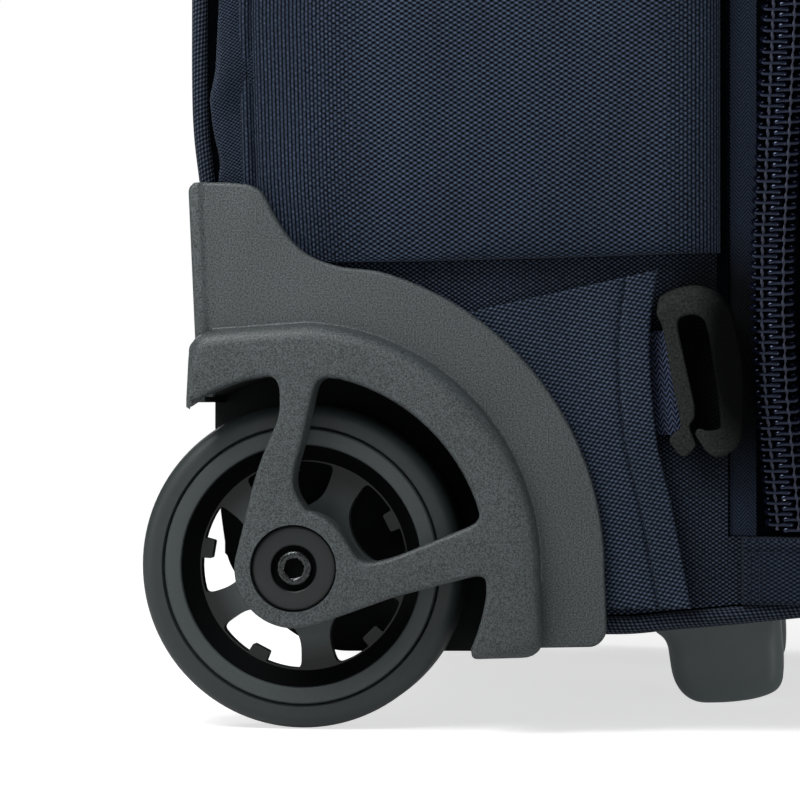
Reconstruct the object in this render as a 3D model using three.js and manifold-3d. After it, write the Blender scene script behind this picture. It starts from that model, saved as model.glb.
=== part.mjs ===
// Wheeled backpack, cabin size, standing on two wheels and two front feet.
// Millimetres, +Z up. The front faces -Y and the back with the shoulder straps faces +Y.
// The origin is on the floor, below the middle of the bag's bounding box.
// Side pieces are modelled on the -X side and mirrored to +X.

import * as THREE from 'three';
import { mergeVertices } from 'three/addons/utils/BufferGeometryUtils.js';
import Module from 'manifold-3d';

const wasm = await Module();
wasm.setup();

// Driving dimensions: the whole object
const overallDepth = 230;        // back of the wheels to the front cloth
const overallHeight = 550;       // floor to the top of the tow grip's button
const gripStow = 35;             // top of the stowed grip above the bag's top
const gap = 0.3;                 // clearance between pieces that touch
const bite = 1;                  // how far parts of one solid reach into each other before joining
const far = 400;                 // past every piece, for blocks that cut right through

// Driving dimensions: wheel
const wheelRadius = 42.5;
const wheelWidth = 23;
const wheelFace = 161.5;         // distance of the wheel's outer face from the middle plane
const tyreDepth = 6.3;           // tyre thickness over the rim
const tyreShoulder = 4.5;        // width of the tyre's rounded shoulder
const tyreDrop = 3;              // how far that shoulder falls
const rimLip = 4.4;              // flat ring at the rim's edge
const rimDish = 6.3;             // how far the web lies behind the wheel's face
const rimTaper = 3.9;            // radial width of the taper from the lip to the web
const webThickness = 4;
const windowCount = 5;
const windowInner = 15.8;        // radii of the web's windows
const windowOuter = 26.6;
const windowAngle = 52;          // angle that one window takes, in degrees
const windowFirst = 26.6;        // direction of the first window, in degrees
const hubRadius = 12;
const hubSink = 1;               // hub face behind the wheel's face
const axleRadius = 4;

// Driving dimensions: moulded wheel housing
const housingFace = 175;         // outer face of the arch and arms
const armThickness = 9;
const flangeFace = 168;
const flangeThickness = 3;
const flangeRadius = 79.3;
const tabTop = 99.6;             // top of the flange's rear tab, above the axle
const tabWidth = 17;
const housingRear = 28.7;        // rear face, behind the axle
const housingCorner = 4.5;       // chamfer of the upright rear corner
const legBottom = 20.5;          // bottom of the flange, below the axle
const archOuter = 63;
const archInner = 50;
const archBottom = 22.8;
const archBevel = 1.8;
const archFrontAngle = -24.2;    // where the arch meets the flange's bottom, in degrees
const archRearAngle = 118;       // where it opens to the rear
const archRearShare = 0.83;      // height of that opening, as a share of the arch's inner radius
const bossRadius = 15.4;
const roofThickness = 3.3;
const innerPlate = 137.5;        // outer face of the plate behind the wheel
const plateThickness = 3;
const plateBottom = 23.5;        // bottom of that plate, below the axle
const rearWrap = 38;             // how far the housing wraps round the back
const discRadius = 10.9;         // bolt cover in the boss
const discSink = 1;              // cover below the boss's face
const recessRadius = 5.95;
const recessDepth = 2.2;
const boltHeadRadius = 4.7;
const boltHeadSink = 0.6;
const socketRadius = 2.2;
const socketDepth = 2;

// Driving dimensions: cloth body
const sideFace = 162;            // cloth side, from the middle plane
const bagRear = 97;              // y of the back cloth
const bagTop = overallHeight - gripStow;
const bagBottom = 30.6;          // z of the bottom cloth between the wheels
const bottomSlope = 5.6;         // rise of the bottom towards the front, in degrees
const slopeStart = -12;          // y where that rise begins
const cloth = 2;                 // wall of the padded cloth shell
const rearCorner = 14;
const frontCorner = 40;
const frontCrown = 5;
const topRound = 16;
const rearChamfer = 14;          // cut corner between the bottom and the back

// Driving dimensions: zip
const zipLine = -52.5;           // y of the zip's middle
const chainWidth = 11;
const chainHeight = 3;
const tapeWidth = 14;            // one tape, from the middle of the zip
const tapeThickness = 1.2;
const tapeSink = 0.6;            // tape surface below the cloth side
const zipEnd = 51;               // z where the zip ends
const patchHeight = 17;
const patchWidth = 21.6;
const patchThickness = 1.6;
const sliderLength = 16;
const sliderWidth = 14;
const sliderHeight = 6;
const sliderApart = 2;           // gap between the two sliders
const sliderCorner = 3;
const pullLength = 34;
const pullWidth = 9;
const pullThickness = 2.4;
const pullEye = 4;               // end of the pull past the slider's middle

// Driving dimensions: side panel, flap and hook
const panelBottom = 121.5;
const panelDrop = 67;            // panel's top below the bag's top
const panelRear = 84;            // y of the rear seam
const panelFront = -36.3;        // y of the rolled front edge
const panelPuff = 8.6;           // how far the panel stands out of the cloth side
const flapThickness = 1.6;
const flapLift = 3.6;            // how far the free edge stands off
const hookBack = 166.6;
const hookThickness = 5;
const hookAhead = 24.6;          // middle of the hook, in front of the flange's edge
const hookUp = 50.5;             // and above the axle
const hookHeight = 44;
const webbingWidth = 27;
const webbingThickness = 1.6;
const webbingUp = 47.6;          // middle of the hook's webbing, above the axle

// Driving dimensions: covered cords along the edges
const backPipingRadius = 3;
const backPipingInset = 12;      // from the cloth side
const backPipingDrop = 18;       // below the bag's top
const backPipingBend = 26;
const bottomPipingRadius = 2.35;
const bottomPipingStart = 14;    // y where it leaves the housing
const bottomPipingProud = 0.6;   // how far it stands out of the cloth side

// Driving dimensions: feet
const footFace = 74;
const footWidth = 28;
const footFront = -51.8;
const footRear = -20.5;

// Driving dimensions: back, straps and handles
const padClear = 5;              // pad's side to the covered cord
const padBottom = 160;
const padDrop = 29;              // pad's top below the bag's top
const padThickness = 8;
const padCorner = 24;
const padEdge = 2.5;             // bevel of the pad's edge
const strapWidth = 56;
const strapThickness = 8;
const strapEdge = 2;
const strapTopX = 42;
const strapDrop = 41;            // strap's top below the bag's top
const strapEndX = 92;
const strapLength = 186;         // padded part
const anchorX = 116;
const anchorZ = 208;
const strapWebbing = 25;
const buckleHeight = 24;
const buckleThickness = 5;
const buckleRim = 4;             // buckle wider than its webbing, on each side
const handleSpan = 140;
const handleRise = 30;
const handleWidth = 28;
const handleThickness = 6;
const handleTab = 18;            // sewn-down end
const handleLine = 5;            // y of the top handle

// Driving dimensions: tow handle
const towLine = 60;              // y of the tubes
const towHalfSpan = 55;          // x of each tube
const towTubeX = 24;             // outer tube, across and deep
const towTubeY = 16;
const towWall = 1.2;
const towCorner = 4;
const towStage = 200;            // travel of each stage
const towOverlap = 80;           // length that stays inside the stage below
const bezelX = 170;
const bezelY = 40;
const bezelHeight = 13.5;
const bezelWall = 3;
const bezelFloor = 4;
const bezelCorner = 12;
const gripX = 150;
const gripY = 20;
const gripBar = 16;
const gripLeg = 28;
const gripEdge = 2.5;            // bevel of the grip's edges
const buttonX = 24;
const buttonY = 11;
const buttonRise = 1.4;
const buttonTravel = 1.1;
const buttonDepth = 5;           // depth of its pocket in the grip
const buttonCorner = 3;

// Places worked out from the driving dimensions
const axleY = overallDepth / 2 - wheelRadius;
const axleZ = wheelRadius;
const frontReach = overallDepth / 2;
const flangeBack = flangeFace - flangeThickness;
const armBack = housingFace - armThickness;
const hookForward = flangeRadius + hookAhead;
const panelTop = bagTop - panelDrop;
const backPipingSide = sideFace - backPipingInset;
const backPipingTop = bagTop - backPipingDrop;
const padWidth = 2 * (backPipingSide - backPipingRadius - padClear);
const padTop = bagTop - padDrop;
const strapTopZ = bagTop - strapDrop;
const strapEndZ = strapTopZ - strapLength;
const mouthRear = zipLine + tapeWidth + gap;
const mouthFront = zipLine - tapeWidth - gap;
const riseToFront = Math.tan(THREE.MathUtils.degToRad(bottomSlope));

// Materials, with the colours of the photograph
const navyCloth = new THREE.MeshStandardMaterial({ color: 0x28303c, roughness: 0.95 });
const meshCloth = new THREE.MeshStandardMaterial({ color: 0x2b3441, roughness: 0.95 });
const darkCloth = new THREE.MeshStandardMaterial({ color: 0x1a222d, roughness: 0.95 });
const webbing = new THREE.MeshStandardMaterial({ color: 0x2f3847, roughness: 0.9 });
const zipCoil = new THREE.MeshStandardMaterial({ color: 0x353c4b, roughness: 0.5 });
const greyPlastic = new THREE.MeshStandardMaterial({ color: 0x464c4f, roughness: 0.6 });
const wheelPlastic = new THREE.MeshStandardMaterial({ color: 0x404748, roughness: 0.55 });
const tyreRubber = new THREE.MeshStandardMaterial({ color: 0x404747, roughness: 0.8 });
const blackPlastic = new THREE.MeshStandardMaterial({ color: 0x17191a, roughness: 0.45 });
const darkMetal = new THREE.MeshStandardMaterial({ color: 0x343a3a, roughness: 0.45, metalness: 0.6 });
const tubeMetal = new THREE.MeshStandardMaterial({ color: 0x8d9296, roughness: 0.35, metalness: 0.9 });

const bagModel = new THREE.Group();

// Geometry helpers

function merged(geometry) {
  const bare = geometry.clone();
  bare.deleteAttribute('normal');
  bare.deleteAttribute('uv');
  return mergeVertices(bare, 1e-4);
}

function solidOf(geometry) {
  const bare = merged(geometry);
  return new wasm.Manifold(new wasm.Mesh({
    numProp: 3,
    vertProperties: Float32Array.from(bare.attributes.position.array),
    triVerts: Uint32Array.from(bare.index.array),
  }));
}

function geometryOf(solid) {
  const mesh = solid.getMesh();
  const geometry = new THREE.BufferGeometry();
  geometry.setAttribute('position', new THREE.BufferAttribute(mesh.vertProperties, 3));
  geometry.setIndex(new THREE.BufferAttribute(mesh.triVerts, 1));
  return geometry;
}

function join(...geometries) {
  return geometryOf(geometries.map(solidOf).reduce((all, next) => all.add(next)));
}

function cut(geometry, ...cutters) {
  return geometryOf(cutters.map(solidOf).reduce((rest, next) => rest.subtract(next), solidOf(geometry)));
}

function common(geometry, other) {
  return geometryOf(solidOf(geometry).intersect(solidOf(other)));
}

function mirrored(geometry) {
  const copy = merged(geometry).applyMatrix4(new THREE.Matrix4().makeScale(-1, 1, 1));
  const index = copy.index;
  for (let i = 0; i < index.count; i += 3) {
    const first = index.getX(i);
    index.setX(i, index.getX(i + 2));
    index.setX(i + 2, first);
  }
  return copy;
}

function addPiece(name, geometry, material, position = [0, 0, 0]) {
  const mesh = new THREE.Mesh(geometry, material);
  mesh.name = name;
  mesh.position.set(...position);
  bagModel.add(mesh);
}

function addPair(name, geometry, material) {
  addPiece(`${name}_left`, geometry, material);
  addPiece(`${name}_right`, mirrored(geometry), material);
}

function block(low, high) {
  const size = high.map((value, i) => value - low[i]);
  return new THREE.BoxGeometry(...size)
    .translate(...low.map((value, i) => value + size[i] / 2));
}

// Closed body through rings of equally many points, with flat ends.
function loft(rings) {
  const count = rings[0].length;
  const positions = rings.flat().flatMap((point) => point.toArray());
  const index = [];
  for (let ring = 0; ring + 1 < rings.length; ring += 1) {
    for (let i = 0; i < count; i += 1) {
      const next = (i + 1) % count;
      const low = ring * count;
      const high = low + count;
      index.push(low + i, low + next, high + next, low + i, high + next, high + i);
    }
  }
  const last = (rings.length - 1) * count;
  for (const [a, b, c] of capTriangles(rings[0])) index.push(c, b, a);
  for (const [a, b, c] of capTriangles(rings[rings.length - 1])) index.push(last + a, last + b, last + c);
  const geometry = new THREE.BufferGeometry();
  geometry.setAttribute('position', new THREE.Float32BufferAttribute(positions, 3));
  geometry.setIndex(index);
  return geometry;
}

// Triangles over one ring, turned the way the ring turns.
function capTriangles(ring) {
  const normal = new THREE.Vector3();
  ring.forEach((point, i) => normal.add(point.clone().cross(ring[(i + 1) % ring.length])));
  normal.normalize();
  const helper = Math.abs(normal.z) < 0.9 ? new THREE.Vector3(0, 0, 1) : new THREE.Vector3(1, 0, 0);
  const across = helper.clone().cross(normal).normalize();
  const up = normal.clone().cross(across);
  const flat = ring.map((point) => new THREE.Vector2(point.dot(across), point.dot(up)));
  return THREE.ShapeUtils.triangulateShape(flat, []);
}

// Outline through points [x, y, reach]; the reach says how far from a corner its rounding starts.
// It is turned anticlockwise, which is what a shape with holes needs.
function rounded(points, Kind = THREE.Shape) {
  const clockwise = THREE.ShapeUtils.area(points.map(([x, y]) => new THREE.Vector2(x, y))) < 0;
  const corners = clockwise ? [...points].reverse() : points;
  const path = new Kind();
  corners.forEach(([x, y, reach = 0], i) => {
    const here = new THREE.Vector2(x, y);
    const [beforeX, beforeY] = corners[(i + corners.length - 1) % corners.length];
    const [afterX, afterY] = corners[(i + 1) % corners.length];
    const back = new THREE.Vector2(beforeX, beforeY).sub(here);
    const on = new THREE.Vector2(afterX, afterY).sub(here);
    const start = here.clone().add(back.setLength(Math.min(reach, back.length() * 0.49)));
    const end = here.clone().add(on.setLength(Math.min(reach, on.length() * 0.49)));
    if (i === 0) path.moveTo(start.x, start.y);
    else path.lineTo(start.x, start.y);
    if (reach > 0) path.quadraticCurveTo(here.x, here.y, end.x, end.y);
  });
  path.closePath();
  return path;
}

function roundedBox(halfX, halfY, reach, Kind = THREE.Shape) {
  return rounded([
    [halfX, -halfY, reach], [halfX, halfY, reach], [-halfX, halfY, reach], [-halfX, -halfY, reach],
  ], Kind);
}

function polar(radius, degrees) {
  const angle = THREE.MathUtils.degToRad(degrees);
  return [radius * Math.cos(angle), radius * Math.sin(angle)];
}

function arc(radius, from, to, steps) {
  return Array.from({ length: steps + 1 }, (_, i) => polar(radius, from + ((to - from) * i) / steps));
}

function extrude(shape, depth, { curve = 2, bevel = 0 } = {}) {
  return new THREE.ExtrudeGeometry(shape, {
    depth: depth - 2 * bevel,
    curveSegments: curve,
    steps: 1,
    bevelEnabled: bevel > 0,
    bevelThickness: bevel,
    bevelSize: bevel,
    bevelOffset: -bevel,
    bevelSegments: 1,
  }).translate(0, 0, bevel);
}

// A side outline is drawn as (forward, up) about the axle and stands out towards -X.
const sideFrame = new THREE.Matrix4()
  .makeBasis(new THREE.Vector3(0, -1, 0), new THREE.Vector3(0, 0, 1), new THREE.Vector3(-1, 0, 0))
  .setPosition(0, axleY, axleZ);

function slab(shape, inner, outer, options) {
  return extrude(shape, outer - inner, options).translate(0, 0, inner).applyMatrix4(sideFrame);
}

// An upright plate: its outline is drawn as (x, z) and it reaches from y = low to y = high.
function plate(shape, low, high, options) {
  return extrude(shape, high - low, options).rotateX(Math.PI / 2).translate(0, high, 0);
}

function sidePoint(out, forward, up) {
  return new THREE.Vector3(-out, axleY - forward, axleZ + up);
}

// Cloth body: shares of the bag's height, side width and front reach, from the floor up.
const bodyTable = [
  { height: 0.00, width: 1.000, front: 0.82 },
  { height: 0.07, width: 1.000, front: 0.87 },
  { height: 0.10, width: 1.000, front: 0.92 },
  { height: 0.18, width: 1.000, front: 0.97 },
  { height: 0.32, width: 1.000, front: 1.00 },
  { height: 0.60, width: 1.000, front: 1.00 },
  { height: 0.76, width: 1.000, front: 0.97 },
  { height: 0.88, width: 1.000, front: 0.90 },
  { height: 0.94, width: 0.975, front: 0.82 },
];

function cornerArc(centreX, centreY, radius, from, steps) {
  return arc(radius, from, from + 90, steps).map(([x, y]) => [centreX + x, centreY + y]);
}

// One level section of the body, moved in by inset and turned anticlockwise seen from above.
function bodyRing(width, front, z, inset) {
  const side = sideFace * width - inset;
  const rear = bagRear - inset;
  const face = -frontReach * front + frontCrown + inset;
  const back = Math.max(rearCorner - inset, 2);
  const nose = Math.max(frontCorner - inset, 2);
  const crown = [-0.6, 0, 0.6].map((share) => [share * (side - nose), face - frontCrown * (1 - share ** 2)]);
  return [
    ...cornerArc(side - back, rear - back, back, 0, 3),
    ...cornerArc(-side + back, rear - back, back, 90, 3),
    ...cornerArc(-side + nose, face + nose, nose, 180, 5),
    ...crown,
    ...cornerArc(side - nose, face + nose, nose, 270, 5),
  ].map(([x, y]) => new THREE.Vector3(x, y, z));
}

function bodyLoft(inset) {
  const rings = bodyTable.map(({ height, width, front }) => bodyRing(width, front, height * bagTop, inset));
  const { width, front } = bodyTable[bodyTable.length - 1];
  for (const angle of [0, 30, 60, 90]) {
    const [out, up] = polar(topRound, angle);
    rings.push(bodyRing(width, front, bagTop - topRound - inset + up, inset + topRound - out));
  }
  return loft(rings);
}

// Space below the bottom cloth, raised by lift: level between the wheels, rising to the front.
function belowBottom(lift) {
  const low = bagBottom + lift;
  const inwards = lift * Math.tan(Math.PI / 8);
  return plateAcross([
    [-far, low + (far + slopeStart) * riseToFront], [slopeStart, low],
    [bagRear - rearChamfer - inwards, low], [bagRear + rearChamfer - inwards, low + 2 * rearChamfer],
    [bagRear + rearChamfer - inwards, -far], [-far, -far],
  ], far);
}

// A prism across the bag from an outline drawn as (y, z).
function plateAcross(corners, halfWidth) {
  const shape = rounded(corners);
  const frame = new THREE.Matrix4()
    .makeBasis(new THREE.Vector3(0, 1, 0), new THREE.Vector3(0, 0, 1), new THREE.Vector3(1, 0, 0));
  return extrude(shape, 2 * halfWidth).translate(0, 0, -halfWidth).applyMatrix4(frame);
}

const wellRearAngle = archRearAngle + 4;

// Room for the wheel and its housing, in the cloth body.
function wheelWell(clearance) {
  const radius = archInner + roofThickness + clearance;
  const inner = innerPlate - plateThickness - clearance;
  const rearTop = polar(radius, wellRearAngle)[1];
  const outline = rounded([...arc(radius, wellRearAngle, -88, 20), [0, -far], [-far, -far], [-far, rearTop]]);
  return slab(outline, inner, far);
}

function bodyShell(outerInset, innerInset) {
  return cut(bodyLoft(outerInset), bodyLoft(innerInset));
}

function zipStrip(rear, front) {
  return block([-far, front, zipEnd], [far, rear, 2 * far]);
}

function towHole(clearance) {
  const shape = roundedBox(towTubeX / 2 + clearance, towTubeY / 2 + clearance, towCorner);
  return extrude(shape, far).translate(-towHalfSpan, towLine, bagTop - 2 * topRound);
}

function makeTub() {
  const well = wheelWell(gap);
  const innerWell = wheelWell(gap + cloth);
  const outer = cut(bodyLoft(0), belowBottom(0), well, mirrored(well));
  const hollow = cut(bodyLoft(cloth), belowBottom(cloth), innerWell, mirrored(innerWell));
  const frontSpace = block([-far, -far, zipEnd - gap], [far, mouthRear, 2 * far]);
  const hole = towHole(gap);
  return cut(outer, hollow, frontSpace, hole, mirrored(hole));
}

function makeLid() {
  return common(bodyShell(0, cloth), block([-far, -far, zipEnd], [far, mouthFront, 2 * far]));
}

addPiece('tub', makeTub(), navyCloth);
addPiece('front_lid', makeLid(), navyCloth);

// Zip: two tapes, the closed coil on them and the sewn ends
const tapeShell = bodyShell(tapeSink, tapeSink + tapeThickness);
addPiece('zip_tape_rear', common(tapeShell, zipStrip(zipLine + tapeWidth, zipLine + gap)), darkCloth);
addPiece('zip_tape_front', common(tapeShell, zipStrip(zipLine - gap, zipLine - tapeWidth)), darkCloth);
const chainBase = tapeSink - gap;
addPiece('zip_chain', common(
  bodyShell(chainBase - chainHeight, chainBase),
  zipStrip(zipLine + chainWidth / 2, zipLine - chainWidth / 2),
), zipCoil);

addPair('zip_end_patch', block(
  [-sideFace - gap - patchThickness, zipLine - patchWidth / 2, zipEnd - gap - patchHeight],
  [-sideFace - gap, zipLine + patchWidth / 2, zipEnd - gap],
), darkCloth);

const sliderBase = bagTop - chainBase + chainHeight + gap;
const sliderX = -(sliderLength + sliderApart) / 2;
addPair('zip_slider', extrude(roundedBox(sliderLength / 2, sliderWidth / 2, sliderCorner), sliderHeight)
  .translate(sliderX, zipLine, sliderBase), darkMetal);
const pullBase = sliderBase + sliderHeight + gap;
addPair('zip_pull', extrude(roundedBox(pullWidth / 2, pullLength / 2, sliderCorner), pullThickness)
  .translate(sliderX, zipLine - pullLength / 2 + pullEye, pullBase), blackPlastic);

// Side panel: shares of its length, from the front edge back and from the bottom up, and of its puff
const panelAcross = [
  { along: 0.000, puff: 0.22 }, { along: 0.010, puff: 0.50 }, { along: 0.035, puff: 0.74 },
  { along: 0.080, puff: 0.90 }, { along: 0.180, puff: 1.00 }, { along: 0.480, puff: 1.00 },
  { along: 0.700, puff: 0.86 }, { along: 0.860, puff: 0.58 }, { along: 1.000, puff: 0.26 },
];
const panelUp = [
  { along: 0.000, puff: 0.55 }, { along: 0.006, puff: 0.80 }, { along: 0.022, puff: 0.94 },
  { along: 0.080, puff: 1.00 }, { along: 0.350, puff: 1.00 }, { along: 0.750, puff: 1.00 },
  { along: 0.930, puff: 0.90 }, { along: 0.985, puff: 0.68 }, { along: 1.000, puff: 0.30 },
];

function makePanel() {
  const rings = panelUp.map((row) => {
    const z = panelBottom + (panelTop - panelBottom) * row.along;
    const back = sideFace + gap;
    const top = panelAcross.map((column) => new THREE.Vector3(
      -back - panelPuff * row.puff * column.puff,
      panelFront + (panelRear - panelFront) * column.along,
      z,
    ));
    const corners = [panelRear, panelFront].map((y) => new THREE.Vector3(-back, y, z));
    return [...top, ...corners].reverse();
  });
  const flange = slab(rounded(flangeCorners(gap)), flangeBack - gap, far);
  return cut(loft(rings), flange);
}

// Moulded wheel housing
function flangeCorners(grow) {
  const outer = flangeRadius + grow;
  return [
    [-housingRear - grow, tabTop + grow, 4],
    [-housingRear + tabWidth + grow, tabTop + grow, 7],
    [polar(outer, 90)[0] + 0.5, outer - 0.3, 9],
    ...arc(outer, 75, 0, 12),
    [outer + 0.5, -legBottom - grow, 4],
    ...(grow > 0 ? [[-housingRear - grow, -legBottom - grow]] : [
      ...arc(archInner, archFrontAngle, archRearAngle, 14),
      [-housingRear, archInner * archRearShare],
    ]),
  ];
}

function archOutline() {
  return rounded([
    [-housingRear, archOuter - 2.4, 4],
    ...arc(archOuter, 90, 0, 13),
    [archOuter + 0.6, -archBottom, 4],
    [archInner - 4.3, -archBottom],
    ...arc(archInner, -18, -6, 2),
    [...polar(archInner, 2.2), 3.5],
    ...arc(bossRadius, -67, -188, 8),
    [...polar(27.2, 115.6), 12],
    [...polar(archInner, 92.5), 5],
    ...arc(archInner, 100, archRearAngle - 2, 2),
    [-housingRear, archInner * archRearShare],
  ]);
}

function archWindow() {
  return rounded([
    [...polar(archInner, 80.8), 3.5],
    ...arc(archInner, 75, 20, 7),
    [...polar(archInner, 15.7), 3],
    [...polar(bossRadius + 1.5, -3.4), 6],
    ...arc(bossRadius, 22, 74, 4),
    [...polar(bossRadius + 2.3, 97.8), 5.5],
  ], THREE.Path);
}

function boltSeat() {
  return slab(rounded(arc(discRadius + gap, 0, 342, 19)), armBack - bite, housingFace + bite);
}

function makeHousing() {
  const flange = slab(rounded(flangeCorners(0)), flangeBack, flangeFace);

  const outline = archOutline();
  outline.holes.push(archWindow());
  const behind = block([-flangeBack, -far, -far], [0, far, far]);
  const throughFlange = slab(outline, flangeBack - archBevel, housingFace, { bevel: archBevel });
  const arch = cut(throughFlange, behind);

  const roofRadius = archInner + roofThickness;
  const plateBack = innerPlate - plateThickness;
  const roof = slab(rounded([
    ...arc(roofRadius, archFrontAngle, wellRearAngle, 16),
    ...arc(archInner, wellRearAngle, archFrontAngle, 16),
  ]), plateBack, flangeBack + bite);

  const wellPlate = slab(rounded([
    ...arc(archInner + roofThickness / 2, wellRearAngle, archFrontAngle - 2, 16),
    [46, -plateBottom, 3], [5.6, -plateBottom, 8], [-14.2, -12.3], [-23.1, -0.5, 4],
    [-25.3, 14.5, 6], [-26.6, 36],
  ]), plateBack, innerPlate);

  const rearPlate = block(
    [-flangeFace + bite, axleY + housingRear - flangeThickness, axleZ + archInner * archRearShare + bite],
    [-flangeFace + rearWrap, axleY + housingRear, axleZ + tabTop],
  );
  const corner = new THREE.CylinderGeometry(housingCorner, housingCorner, far, 4)
    .rotateX(Math.PI / 2).rotateZ(Math.PI / 4)
    .translate(-flangeFace, axleY + housingRear, axleZ + tabTop);
  return cut(join(flange, arch, roof, wellPlate, rearPlate), corner, boltSeat());
}

const panel = makePanel();
addPair('side_panel', panel, meshCloth);
addPair('wheel_housing', makeHousing(), greyPlastic);

// Wheel: profiles as (radius, distance from the wheel's middle), the outer face at +
const rimRadius = wheelRadius - tyreDepth - gap;
const halfWheel = wheelWidth / 2;

function turned(profile, segments) {
  const closed = [...profile, profile[0]].map(([radius, along]) => new THREE.Vector2(radius, along));
  return new THREE.LatheGeometry(closed, segments).rotateZ(Math.PI / 2);
}

function makeTyre() {
  const shoulder = [
    { drop: 1, along: 0 },
    { drop: 0.3, along: 0.35 },
    { drop: 0, along: 1 },
  ].map(({ drop, along }) => [wheelRadius - tyreDrop * drop, halfWheel - tyreShoulder * along]);
  const outerHalf = [[wheelRadius - tyreDepth, halfWheel], ...shoulder];
  const innerHalf = outerHalf.map(([radius, along]) => [radius, -along]);
  return turned([...innerHalf, ...outerHalf.reverse()], 34);
}

function makeRim() {
  const webFace = halfWheel - rimDish;
  const webBack = webFace - webThickness;
  const lipInner = rimRadius - rimLip;
  const webOuter = lipInner - rimTaper;
  const bore = axleRadius + gap;
  const hubFace = halfWheel - hubSink;
  const body = turned([
    [bore, -hubFace], [hubRadius, -hubFace], [hubRadius, webBack], [webOuter, webBack],
    [lipInner, -halfWheel], [rimRadius, -halfWheel], [rimRadius, halfWheel], [lipInner, halfWheel],
    [webOuter, webFace], [hubRadius, webFace], [hubRadius, hubFace], [bore, hubFace],
  ], 26);
  const windows = Array.from({ length: windowCount }, (_, i) => {
    const middle = windowFirst + (360 / windowCount) * i;
    const outline = rounded([
      [...polar(windowInner, middle + windowAngle * 0.42), 2.5],
      polar(windowInner * 1.08, middle),
      [...polar(windowInner, middle - windowAngle * 0.42), 2.5],
      [...polar(windowOuter, middle - windowAngle / 2), 4],
      polar(windowOuter, middle),
      [...polar(windowOuter, middle + windowAngle / 2), 4],
    ]);
    return extrude(outline, wheelWidth)
      .translate(0, 0, -halfWheel)
      .applyMatrix4(new THREE.Matrix4().makeBasis(
        new THREE.Vector3(0, -1, 0), new THREE.Vector3(0, 0, 1), new THREE.Vector3(-1, 0, 0),
      ));
  });
  return cut(body, ...windows);
}

const wheelMiddle = wheelFace - halfWheel;
const tyre = makeTyre();
const rim = makeRim();
addPiece('tyre_left', tyre, tyreRubber, [-wheelMiddle, axleY, axleZ]);
addPiece('tyre_right', mirrored(tyre), tyreRubber, [wheelMiddle, axleY, axleZ]);
addPiece('rim_left', rim, wheelPlastic, [-wheelMiddle, axleY, axleZ]);
addPiece('rim_right', mirrored(rim), wheelPlastic, [wheelMiddle, axleY, axleZ]);

function makeBolt() {
  const discTop = housingFace - discSink;
  const headTop = discTop - boltHeadSink;
  const profile = [
    [0, innerPlate + gap], [axleRadius, innerPlate + gap], [axleRadius, armBack + gap],
    [discRadius, armBack + gap], [discRadius, discTop], [recessRadius, discTop],
    [recessRadius, discTop - recessDepth], [boltHeadRadius, discTop - recessDepth], [boltHeadRadius, headTop],
    [socketRadius, headTop], [socketRadius, headTop - socketDepth], [0, headTop - socketDepth],
  ];
  return new THREE.LatheGeometry(profile.map(([radius, along]) => new THREE.Vector2(radius, along)), 16)
    .rotateZ(Math.PI / 2)
    .translate(0, axleY, axleZ);
}

addPair('axle_bolt', makeBolt(), darkMetal);

// Wing flap: rows of its height, with where it leaves the housing and its free edge, as shares of
// the flange's radius
const flapTable = [
  { up: -0.134, from: 0.885, to: 1.277 },
  { up: 0.193, from: 0.865, to: 1.221 },
  { up: 0.350, from: 0.815, to: 1.188 },
  { up: 0.508, from: 0.735, to: 1.159 },
  { up: 0.764, from: 0.460, to: 1.149 },
  { up: 0.836, from: 0.545, to: 1.153 },
  { up: 0.883, from: 0.800, to: 1.160 },
  { up: 0.958, from: 1.150, to: 1.168 },
];

function makeFlap() {
  const base = sideFace + gap;
  const rings = flapTable.map((row) => {
    const up = row.up * flangeRadius;
    const from = row.from * flangeRadius;
    const to = row.to * flangeRadius;
    const bend = Math.max(from, Math.min(flangeRadius * 1.02, to - 0.1));
    const lift = (forward) => base + flapLift * Math.max(0, (forward / flangeRadius - 1) / 0.2);
    const inner = [from, (from + bend) / 2 + 0.05, to].map((forward) => [forward, lift(forward)]);
    const outer = inner.map(([forward, out]) => [forward, out + flapThickness]).reverse();
    return [...inner, ...outer].map(([forward, out]) => sidePoint(out, forward, up)).reverse();
  });
  return loft(rings);
}

addPair('wing_flap', makeFlap(), navyCloth);

// Hook on its webbing tab. The outline is (forward, up) from the slot's middle, as shares of its height.
const hookOuter = [
  [-0.22, 0.42, 0.03], [-0.15, 0.470, 0.06], [-0.02, 0.505, 0.06], [0.11, 0.470, 0.08],
  [0.20, 0.39, 0.08], [0.245, 0.22, 0.1], [0.265, -0.06, 0.1], [0.262, -0.33, 0.02],
  [0.235, -0.44, 0.06], [0.15, -0.50, 0.06], [0.055, -0.48, 0.04], [-0.03, -0.37, 0.03],
  [-0.005, -0.325, 0.02], [0.05, -0.345, 0.02], [0.135, -0.33, 0.02], [0.110, -0.15, 0],
  [0.035, 0.29, 0.05], [-0.045, 0.33, 0.06], [-0.130, 0.30, 0.05], [-0.105, 0.10, 0],
  [-0.030, -0.21, 0.05], [-0.065, -0.315, 0.02], [-0.030, -0.42, 0.04], [-0.09, -0.508, 0.05],
  [-0.175, -0.41, 0.05], [-0.105, -0.33, 0.03], [-0.165, -0.045, 0], [-0.215, 0.27, 0.02],
];

function makeHook() {
  const corners = hookOuter.map(([forward, up, reach]) => [
    hookForward + forward * hookHeight,
    hookUp + up * hookHeight,
    reach * hookHeight,
  ]);
  return slab(rounded(corners), hookBack, hookBack + hookThickness, { curve: 1 });
}

const webbingRear = 1.12 * flangeRadius;
const webbingFront = 1.25 * flangeRadius;

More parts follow.
